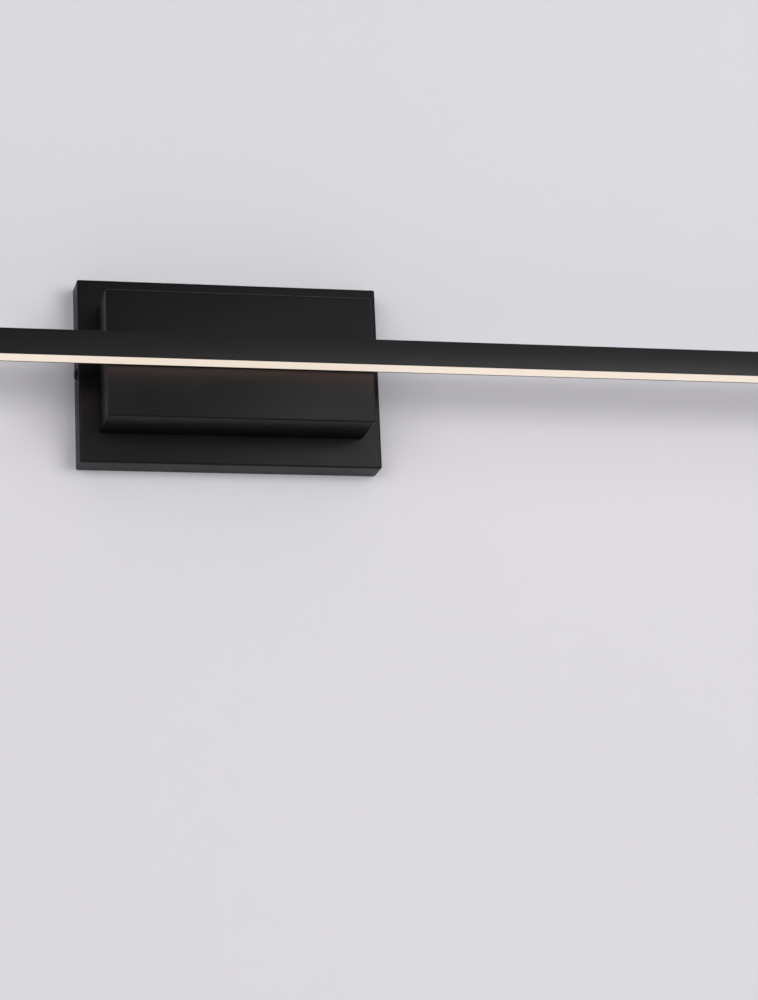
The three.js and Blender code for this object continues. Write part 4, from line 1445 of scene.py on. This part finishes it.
class LIGHTBAR_OT_driver(bpy.types.Operator):
    """LED driver: a ribbed case on an eared lid, round a board with its transformer and capacitor"""

    bl_idname = "lightbar.driver"
    bl_label = "LED driver"

    def execute(self, context):
        forms = context.scene.light_bar_forms
        self.case(forms)
        self.lid()
        self.board()
        self.transformer()
        self.capacitor(forms)
        return {"FINISHED"}

    def case(self, forms):
        """A hollow case with wire holes in its ends and cooling grooves across its front"""
        low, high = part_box("driver_case")
        shell = soft_block(low, high, 2 * MM, 1)
        shell = round_edges(shell, 0.8 * MM, in_plane(1, low.y), segments=3)
        wall = Vector((DRIVER_WALL, DRIVER_WALL, DRIVER_WALL))
        inner_high = (high.x - DRIVER_WALL, high.y + MM, high.z - DRIVER_WALL)
        tools = [soft_block(low + wall, inner_high, 0.7 * MM, 1, segments=2)]
        y = (low.y + high.y) / 2
        for face, radius in zip((low.x, high.x), DRIVER_WIRES):
            for z in (-WIRE_OFFSET, WIRE_OFFSET):
                tools.append(rod((face - 3 * MM, y, z), (face + 3 * MM, y, z), radius, 20))
        for i in range(-4, 5):
            x = i * GROOVE_PITCH
            groove = soft_block(
                (x - 0.9 * MM, low.y - MM, low.z + 6 * MM),
                (x + 0.9 * MM, low.y + 0.6 * MM, high.z - 6 * MM),
                0.8 * MM,
                1,
                segments=3,
            )
            tools.append(groove)
        shown(
            "driver_shell", cut(shell, tools), ["driver_plastic"], ["driver_case"],
            forms.broken_edge,
        )

    def lid(self):
        """A lid with slotted ears, and a label in a sunk panel"""
        low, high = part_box("driver_lid")
        case_low, case_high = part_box("driver_case")
        depth = (low.y - MM, high.y + MM)
        radius = SCREW_FORMS["driver_screw"][1] + SHANK_PLAY
        tools = []
        for name, side in SIDES.items():
            place = middle(f"driver_screw_{name}")
            slot = slot_outline(place.x - 2.2 * MM, place.x + 2.2 * MM, place.z, radius)
            tools.append(through([slot], depth))
            for z_side in (-1, 1):
                relief = soft_block(
                    (side * (case_high.x + 3 * MM), depth[0], z_side * 14 * MM),
                    (side * (high.x + CLEAR), depth[1], z_side * (high.z + CLEAR)),
                    3 * MM,
                    1,
                )
                tools.append(relief)

        def on_back(margin, front, back, corner):
            return soft_block(
                (case_low.x + margin + MM, high.y + front, case_low.z + margin),
                (case_high.x - margin - MM, high.y + back, case_high.z - margin),
                corner,
                1,
            )

        tools.append(on_back(5 * MM, -0.25 * MM, MM, 1.5 * MM))
        label = on_back(7 * MM, -0.3 * MM, -0.1 * MM, MM)
        lid = cut(soft_block(low, high, 2.5 * MM, 1), tools)
        shown(
            "driver_base", joined([painted(lid, 0), painted(label, 1)]),
            ["driver_plastic", "label"], ["driver_lid"], 0.05 * MM,
        )

    def board(self):
        """A board with corner holes and two rows of small parts, each with two soldered ends"""
        low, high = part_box("driver_board")
        depth = (low.y - MM, high.y + MM)
        tools = [
            drill(Vector((x, 0, z)), depth, 1.3 * MM, 20)
            for x in (low.x + 3 * MM, high.x - 3 * MM)
            for z in (low.z + 3 * MM, high.z - 3 * MM)
        ]
        parts = [painted(cut(soft_block(low, high, MM, 1, segments=3), tools), 0)]
        for i in range(6):
            for z in (-9 * MM, 9 * MM):
                x = low.x + (8 + 5 * (i % 3) + (62 if i > 2 else 0)) * MM
                body = soft_block(
                    (x - 1.4 * MM, low.y - 1.1 * MM, z - MM),
                    (x + 1.4 * MM, low.y, z + MM),
                    0.15 * MM,
                    segments=1,
                )
                parts.append(painted(body, 1))
                for end in (x - 1.6 * MM, x + 1.6 * MM):
                    pad = soft_block(
                        (end - 0.35 * MM, low.y - 0.5 * MM, z - 0.9 * MM),
                        (end + 0.35 * MM, low.y, z + 0.9 * MM),
                        0.2 * MM,
                        segments=2,
                    )
                    parts.append(painted(pad, 2))
        shown(
            "driver_circuit", joined(parts), ["board_green", "ferrite", "screw_steel"],
            ["driver_board"],
        )

    def transformer(self):
        """A taped coil between two flanges, with the legs of its core on either side"""
        low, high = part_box("driver_transformer")
        middle_x = (low.x + high.x) / 2
        base = soft_block((low.x, high.y - 3 * MM, low.z), high, 0.6 * MM, segments=2)
        coil = soft_block(
            (low.x + MM, low.y + 2.5 * MM, -5.4 * MM),
            (high.x - MM, high.y - 2.5 * MM, 5.4 * MM),
            2 * MM,
            0,
            segments=6,
        )
        flange = soft_block(
            (low.x, low.y + 1.8 * MM, -5.5 * MM),
            (high.x, low.y + 3 * MM, 5.5 * MM),
            0.4 * MM,
            segments=2,
        )
        parts = [painted(base, 1), painted(coil, 0), painted(flange, 1)]
        for x in (middle_x - 5.6 * MM, middle_x + 5.6 * MM):
            core = soft_block(
                (x - 2.2 * MM, low.y, -4.4 * MM),
                (x + 2.2 * MM, high.y - 2 * MM, 4.4 * MM),
                0.5 * MM,
                segments=2,
            )
            parts.append(painted(core, 1))
        shown(
            "transformer", joined(parts), ["winding", "ferrite"], ["driver_transformer"]
        )

    def capacitor(self, forms):
        """A sleeved can with a crimped neck and a scored vent"""
        low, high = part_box("driver_capacitor")
        centre = (low + high) / 2
        radius = (high.x - low.x) / 2
        height = high.y - low.y
        outline = [
            (0, 0.25 * MM),
            (0.72 * radius, 0.25 * MM),
            (0.78 * radius, 0),
            (0.93 * radius, 0),
            (radius, 0.4 * MM),
            (radius, height - 3 * MM),
            (0.9 * radius, height - 2.4 * MM),
            (0.9 * radius, height - 2 * MM),
            (radius, height - 1.4 * MM),
            (radius, height - 0.3 * MM),
            (0.9 * radius, height),
            (0, height),
        ]
        score = [
            block((-x, -y, -MM), (x, y, 0.4 * MM))
            for x, y in ((0.55 * radius, 0.1 * MM), (0.1 * MM, 0.55 * radius))
        ]
        can = cut(turned(outline, forms.sides), score)
        for face in can.faces:
            bare = math.hypot(*face.calc_center_median()[:2]) < 0.8 * radius
            face.material_index = 0 if bare else 1
        can = placed(can, (centre.x, low.y, centre.z), (0, 1, 0))
        shown("capacitor", can, ["can", "sleeve"], ["driver_capacitor"])


# ---- Wiring --------------------------------------------------------------------------------------


class LIGHTBAR_OT_terminal_block(bpy.types.Operator):
    """Terminal block: a moulded three-pole body with funnelled ports and brass clamp screws"""

    bl_idname = "lightbar.terminal_block"
    bl_label = "Terminal block"

    def execute(self, context):
        low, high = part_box("terminal_block")
        if not low.z < middle("terminal_screw").z < high.z:
            raise RuntimeError("the mounting screw misses the terminal block")
        y = (low.y + high.y) / 2
        poles = [low.z + POLE_EDGE + i * POLE_PITCH for i in range(POLE_COUNT)]
        sides = ((-1, low.x), (1, high.x))
        tools = [hole_for("terminal_screw", (low.y - MM, high.y + MM))]
        brass = []
        for z in poles:
            for side, face in sides:
                tools.append(rod((face + side * MM, y, z), (face - side * PORT_DEPTH, y, z), 1.5 * MM, 24))
                funnel = turned([(0, -MM), (3.2 * MM, -MM), (1.4 * MM, 1.6 * MM), (0, 1.6 * MM)], 32)
                tools.append(placed(funnel, (face, y, z), (-side, 0, 0)))
                well = Vector((face - side * 4.6 * MM, high.y - 3.5 * MM, z))
                tools.append(drill(well, (high.y - 3.6 * MM, high.y + MM), 2.2 * MM, 32))
                head = placed(pan_head(2.05 * MM, 1.2 * MM, 28), well, (0, -1, 0))
                brass.append(painted(head, 1))
        for lower, upper in zip(poles, poles[1:]):
            split = (lower + upper) / 2
            for side, face in sides:
                groove = block(
                    (face - side * 1.2 * MM, low.y - MM, split - 0.5 * MM),
                    (face + side * MM, high.y + MM, split + 0.5 * MM),
                )
                tools.append(groove)
        body = painted(cut(soft_block(low, high, 0.8 * MM, segments=3), tools), 0)
        shown(
            "terminal_body", joined([body, *brass]), ["white_plastic", "brass"],
            ["terminal_block"], 0.12 * MM,
        )
        return {"FINISHED"}


class LIGHTBAR_OT_sleeves(bpy.types.Operator):
    """Bushing and grommet: rubber sleeves that keep the wires off the punched edges"""

    bl_idname = "lightbar.sleeves"
    bl_label = "Wire sleeves"

    def execute(self, context):
        forms = context.scene.light_bar_forms
        kinds = (("wire_bushing", BUSHING_HOLE, 1.2 * MM), ("wire_grommet", GROMMET_HOLE, 0.9 * MM))
        for node, hole, wall in kinds:
            low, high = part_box(node)
            centre = (low + high) / 2
            rim = (high.x - low.x) / 2
            outer = hole / 2 - SHANK_PLAY
            inner = outer - wall
            length = high.y - low.y
            lip = 0.4 * wall
            outline = [
                (inner, 0, lip),
                (outer, 0, lip),
                (outer, length - wall, 0.05 * MM),
                (rim, length - wall, lip),
                (rim, length, lip),
                (inner, length, lip),
            ]
            profile = [tuple(point) for point in rounded(outline, 4)]
            sleeve = turned([*profile, profile[0]], forms.sides)
            sleeve = placed(sleeve, (centre.x, low.y, centre.z), (0, 1, 0))
            shown(f"{node}_sleeve", sleeve, ["rubber"], [node])
        return {"FINISHED"}


class LIGHTBAR_OT_wiring(bpy.types.Operator):
    """Wiring: the insulated wires, and the crimped ring on the earth wire"""

    bl_idname = "lightbar.wiring"
    bl_label = "Wiring"

    def execute(self, context):
        wires = (
            ("live_wire", "wire_black"),
            ("neutral_wire", "wire_white"),
            ("earth_wire", "wire_green"),
            ("positive_wire", "wire_red"),
            ("negative_wire", "wire_black"),
        )
        for node, slot in wires:
            wire = frame["nodes"][node]
            wire.material_slots[0].material = finish(slot)
            wire.data.shade_smooth()
            weld = wire.modifiers.new("Closed seams", "WELD")
            weld.merge_threshold = 0.01 * MM
            smooth = wire.modifiers.new("Round insulation", "SUBSURF")
            smooth.levels = smooth.render_levels = 2
        self.ring()
        return {"FINISHED"}

    def ring(self):
        """A flat ring with a tongue, and the barrel that is crimped round the wire"""
        low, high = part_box("earth_ring")
        place = middle("earth_screw")
        radius = (high.z - low.z) / 2
        neck = math.asin(TONGUE_HALF_WIDTH / radius)
        steps = 28
        turns = [neck + (2 * math.pi - 2 * neck) * i / steps for i in range(steps + 1)]
        outline = [(place.x + radius * math.cos(a), place.z + radius * math.sin(a)) for a in turns]
        outline += [(high.x, place.z - TONGUE_HALF_WIDTH), (high.x, place.z + TONGUE_HALF_WIDTH)]
        hole = circle(SCREW_FORMS["earth_screw"][1] + SHANK_PLAY, 24, (place.x, place.z))
        plate = through([outline, hole], (low.y, high.y))
        wire_radius = MAINS_WIRE / 2
        inner = 0.92 * wire_radius
        outer = wire_radius + 0.5 * MM
        barrel = turned(
            [
                (inner, 0),
                (outer, 0),
                (outer, 1.2 * MM),
                (0.9 * outer, 1.6 * MM),
                (0.9 * outer, 2.6 * MM),
                (outer, 3 * MM),
                (outer, 4.4 * MM),
                (inner, 4.4 * MM),
                (inner, 0),
            ],
            28,
        )
        start = (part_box("earth_wire")[0].x + 0.2 * MM, high.y + GAP + wire_radius, place.z)
        barrel = placed(barrel, start, (1, 0, 0))
        shown(
            "ring_terminal", joined([plate, barrel]), ["zinc_steel"], ["earth_ring"],
            0.1 * MM,
        )


class LIGHTBAR_OT_led_boards(bpy.types.Operator):
    """LED boards: white strips with LED packages, on thermal tape, bridged by connectors"""

    bl_idname = "lightbar.led_boards"
    bl_label = "LED boards"

    def execute(self, context):
        for place in ("left", "middle", "right"):
            self.board(place)
            tape = frame["nodes"][f"thermal_tape_{place}"]
            tape.material_slots[0].material = finish("tape")
        for side in SIDES:
            self.connector(side)
        return {"FINISHED"}

    def board(self, place):
        """A strip with a row of LED packages, each between two soldered pads"""
        low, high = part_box(f"led_board_{place}")
        centre = (low + high) / 2
        under = low.z + LED_HEIGHT
        strip = soft_block((low.x, low.y, under), high, 0.8 * MM, 2, segments=3)
        if low.x < feed_place() < high.x:
            strip = cut(strip, [feed_cut(under - MM, high.z + MM)])
        parts = [painted(strip, 0)]
        count = math.floor((high.x - low.x) / LED_PITCH)
        half = LED_SIZE / 2
        for k in range(count):
            x = centre.x + (k - (count - 1) / 2) * LED_PITCH
            package = soft_block(
                (x - half, centre.y - half, low.z),
                (x + half, centre.y + half, under),
                0.2 * MM,
                2,
                segments=2,
            )
            face = next(f for f in package.faces if f.normal.z < -0.9)
            bmesh.ops.inset_individual(package, faces=[face], thickness=0.35 * MM)
            painted(package, 1)
            bmesh.ops.translate(package, vec=(0, 0, 0.15 * MM), verts=face.verts)
            face.material_index = 2
            parts.append(package)
            reach = half + 0.45 * MM
            for pad_x in (x - reach, x + reach):
                pad = soft_block(
                    (pad_x - 0.4 * MM, centre.y - 1.1 * MM, under - 0.12 * MM),
                    (pad_x + 0.4 * MM, centre.y + 1.1 * MM, under),
                    0.08 * MM,
                    segments=1,
                )
                parts.append(painted(pad, 3))
        shown(
            f"led_strip_{place}", joined(parts),
            ["board_white", "white_plastic", "phosphor", "screw_steel"],
            [f"led_board_{place}"],
        )

    def connector(self, side):
        """A low housing with four contacts in open windows"""
        node = f"board_connector_{side}"
        low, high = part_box(node)
        centre = (low + high) / 2
        windows = []
        contacts = []
        for x in (centre.x - 2 * MM, centre.x + 2 * MM):
            for y in (centre.y - 2.2 * MM, centre.y + 2.2 * MM):
                windows.append(
                    block((x - MM, y - 0.8 * MM, low.z - MM), (x + MM, y + 0.8 * MM, low.z + 0.5 * MM))
                )
                contact = soft_block(
                    (x - 0.8 * MM, y - 0.5 * MM, low.z + 0.25 * MM),
                    (x + 0.8 * MM, y + 0.5 * MM, low.z + 0.55 * MM),
                    0.1 * MM,
                    segments=1,
                )
                contacts.append(painted(contact, 1))
        body = painted(cut(soft_block(low, high, 0.25 * MM, segments=2), windows), 0)
        shown(
            f"bridge_connector_{side}", joined([body, *contacts]), ["white_plastic", "brass"],
            [node],
        )


# ---- Studio --------------------------------------------------------------------------------------


def flat_stage(name, shape, material):
    """A flat of the studio, which isn't part of the object"""
    mesh = bpy.data.meshes.new(name)
    shape.to_mesh(mesh)
    shape.free()
    mesh.materials.append(material)
    flat = bpy.data.objects.new(name, mesh)
    bpy.context.scene.collection.objects.link(flat)


def soft_light(name, place, target, size, power, colour=(1, 1, 1)):
    """A rectangular area light that looks at a target"""
    light = bpy.data.lights.new(name, "AREA")
    light.shape = "RECTANGLE"
    light.size, light.size_y = size
    light.energy = power
    light.color = colour
    lamp = bpy.data.objects.new(name, light)
    lamp.location = place
    lamp.rotation_euler = (Vector(target) - Vector(place)).to_track_quat("-Z", "Y").to_euler()
    bpy.context.scene.collection.objects.link(lamp)
    return lamp


class LIGHTBAR_OT_studio(bpy.types.Operator):
    """Studio: a pale wall and floor, soft lights and the camera"""

    bl_idname = "lightbar.studio"
    bl_label = "Studio"

    def execute(self, context):
        studio = context.scene.light_bar_studio
        self.room(studio)
        self.lights(studio)
        self.camera(context, studio)
        context.scene.view_settings.view_transform = "Standard"
        return {"FINISHED"}

    def paint(self, studio):
        """Matt paint that shows from the room and is clear from behind"""
        material, tree, shader = new_finish("room_paint", Roughness=0.9)
        place = object_place(tree)
        stipple = noise(tree, place, 900.0, 2.0)
        shade = remapped(tree, noise(tree, place, 3.0, 3.0), 0.3, 0.7, 0.0, 0.04)
        base = opaque(studio.wall)
        tree.links.new(mixed(tree, shade, base, (0.6, 0.6, 0.6, 1)), shader["Base Color"])
        tree.links.new(bumped(tree, stipple, 0.03 * MM), shader["Normal"])
        clear = add(tree, "ShaderNodeBsdfTransparent")
        behind = add(tree, "ShaderNodeNewGeometry").outputs["Backfacing"]
        painted_side = tree.nodes["Principled BSDF"].outputs["BSDF"]
        both = add(tree, "ShaderNodeMixShader", {0: behind, 1: painted_side, 2: clear.outputs[0]})
        tree.links.new(both.outputs[0], tree.nodes["Material Output"].inputs["Surface"])
        return material

    def room(self, studio):
        """The wall, open behind the backplate, and the floor"""
        paint = self.paint(studio)
        low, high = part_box("backplate")
        inset = 3 * MM  # of the opening, from the edge of the backplate
        width, floor, ceiling, depth = 4.0, -2.2, 3.0, 5.0
        wall_y = 0.5 * MM
        room_edge = [(-width, floor), (width, floor), (width, ceiling), (-width, ceiling)]
        opening = [
            (low.x + inset, low.z + inset),
            (high.x - inset, low.z + inset),
            (high.x - inset, high.z - inset),
            (low.x + inset, high.z - inset),
        ]
        wall = drawn([room_edge, opening], lambda x, z: (x, wall_y, z))
        for face in wall.faces:
            if face.normal.y > 0:
                face.normal_flip()
        flat_stage("wall", wall, paint)
        ground = drawn(
            [[(-width, wall_y), (width, wall_y), (width, -depth), (-width, -depth)]],
            lambda x, y: (x, y, floor),
        )
        for face in ground.faces:
            if face.normal.z < 0:
                face.normal_flip()
        flat_stage("floor", ground, paint)

    def lights(self, studio):
        """The even light of the room, the soft lights and the sheen of the lens"""
        world = bpy.data.worlds.new("room_light")
        world.use_nodes = True
        background = world.node_tree.nodes["Background"]
        background.inputs["Color"].default_value = (0.99, 0.95, 1.05, 1)
        background.inputs["Strength"].default_value = studio.ambient
        bpy.context.scene.world = world
        soft_light("key_light", (1.90, -3.52, 0.10), (0, 0, 0), (2.3, 1.6), studio.key)
        soft_light("fill_light", (-1.7, -3.2, 0.12), (0, 0, 0), (2.4, 1.6), studio.fill)
        soft_light("high_light", (1.6, -3.0, 1.7), (0, 0, 0), (2.4, 1.6), studio.crown)
        soft_light("back_light", (1.2, 2.6, 0.9), (0, 0, 0), (2.4, 2.0), studio.back)
        low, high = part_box("bar_lens")
        below = Vector(((low.x + high.x) / 2, (low.y + high.y) / 2, low.z - 0.4 * MM))
        sheen = soft_light(
            "lens_sheen",
            below,
            below - Vector((0, 0, 1)),
            (high.x - low.x, high.y - low.y - 2 * MM),
            studio.sheen,
            (1.0, 0.50, 0.38),
        )
        sheen.visible_camera = sheen.visible_diffuse = False
        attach(sheen, "fixture")

    def camera(self, context, studio):
        """The camera, turned about its own axes"""
        lens = bpy.data.cameras.new("camera")
        lens.lens = studio.focal_length
        lens.clip_start = 0.05
        camera = bpy.data.objects.new("camera", lens)
        turn = (
            Matrix.Rotation(-studio.camera_yaw, 4, "Z")
            @ Matrix.Rotation(math.pi / 2 + studio.camera_pitch, 4, "X")
            @ Matrix.Rotation(-studio.camera_roll, 4, "Z")
        )
        camera.matrix_world = Matrix.Translation(studio.camera_place) @ turn
        context.scene.collection.objects.link(camera)
        context.scene.camera = camera


# ---- Add-on --------------------------------------------------------------------------------------


OPERATORS = (
    LIGHTBAR_OT_backplate,
    LIGHTBAR_OT_housing,
    LIGHTBAR_OT_bracket,
    LIGHTBAR_OT_bar,
    LIGHTBAR_OT_lens,
    LIGHTBAR_OT_end_caps,
    LIGHTBAR_OT_screws,
    LIGHTBAR_OT_bar_fixings,
    LIGHTBAR_OT_driver,
    LIGHTBAR_OT_terminal_block,
    LIGHTBAR_OT_sleeves,
    LIGHTBAR_OT_wiring,
    LIGHTBAR_OT_led_boards,
    LIGHTBAR_OT_studio,
)

SETTINGS = {
    "light_bar_forms": LightBarForms,
    "light_bar_finishes": LightBarFinishes,
    "light_bar_studio": LightBarStudio,
}


class LIGHTBAR_PT_panel(bpy.types.Panel):
    """The light bar's pieces, sizes and colours"""

    bl_idname = "LIGHTBAR_PT_panel"
    bl_label = "Light bar"
    bl_space_type = "VIEW_3D"
    bl_region_type = "UI"
    bl_category = "Light bar"

    def draw(self, context):
        for name, settings in SETTINGS.items():
            box = self.layout.box()
            for prop in settings.__annotations__:
                box.prop(getattr(context.scene, name), prop)
        for operator in OPERATORS:
            self.layout.operator(operator.bl_idname)


def register():
    for settings in (*SETTINGS.values(), *OPERATORS, LIGHTBAR_PT_panel):
        bpy.utils.register_class(settings)
    for name, settings in SETTINGS.items():
        setattr(bpy.types.Scene, name, bpy.props.PointerProperty(type=settings))


def unregister():
    for name in SETTINGS:
        delattr(bpy.types.Scene, name)
    for settings in reversed((*SETTINGS.values(), *OPERATORS, LIGHTBAR_PT_panel)):
        bpy.utils.unregister_class(settings)


def main():
    register()
    for operator in OPERATORS:
        _, step = operator.bl_idname.split(".")
        getattr(bpy.ops.lightbar, step)()


if __name__ == "__main__":
    main()
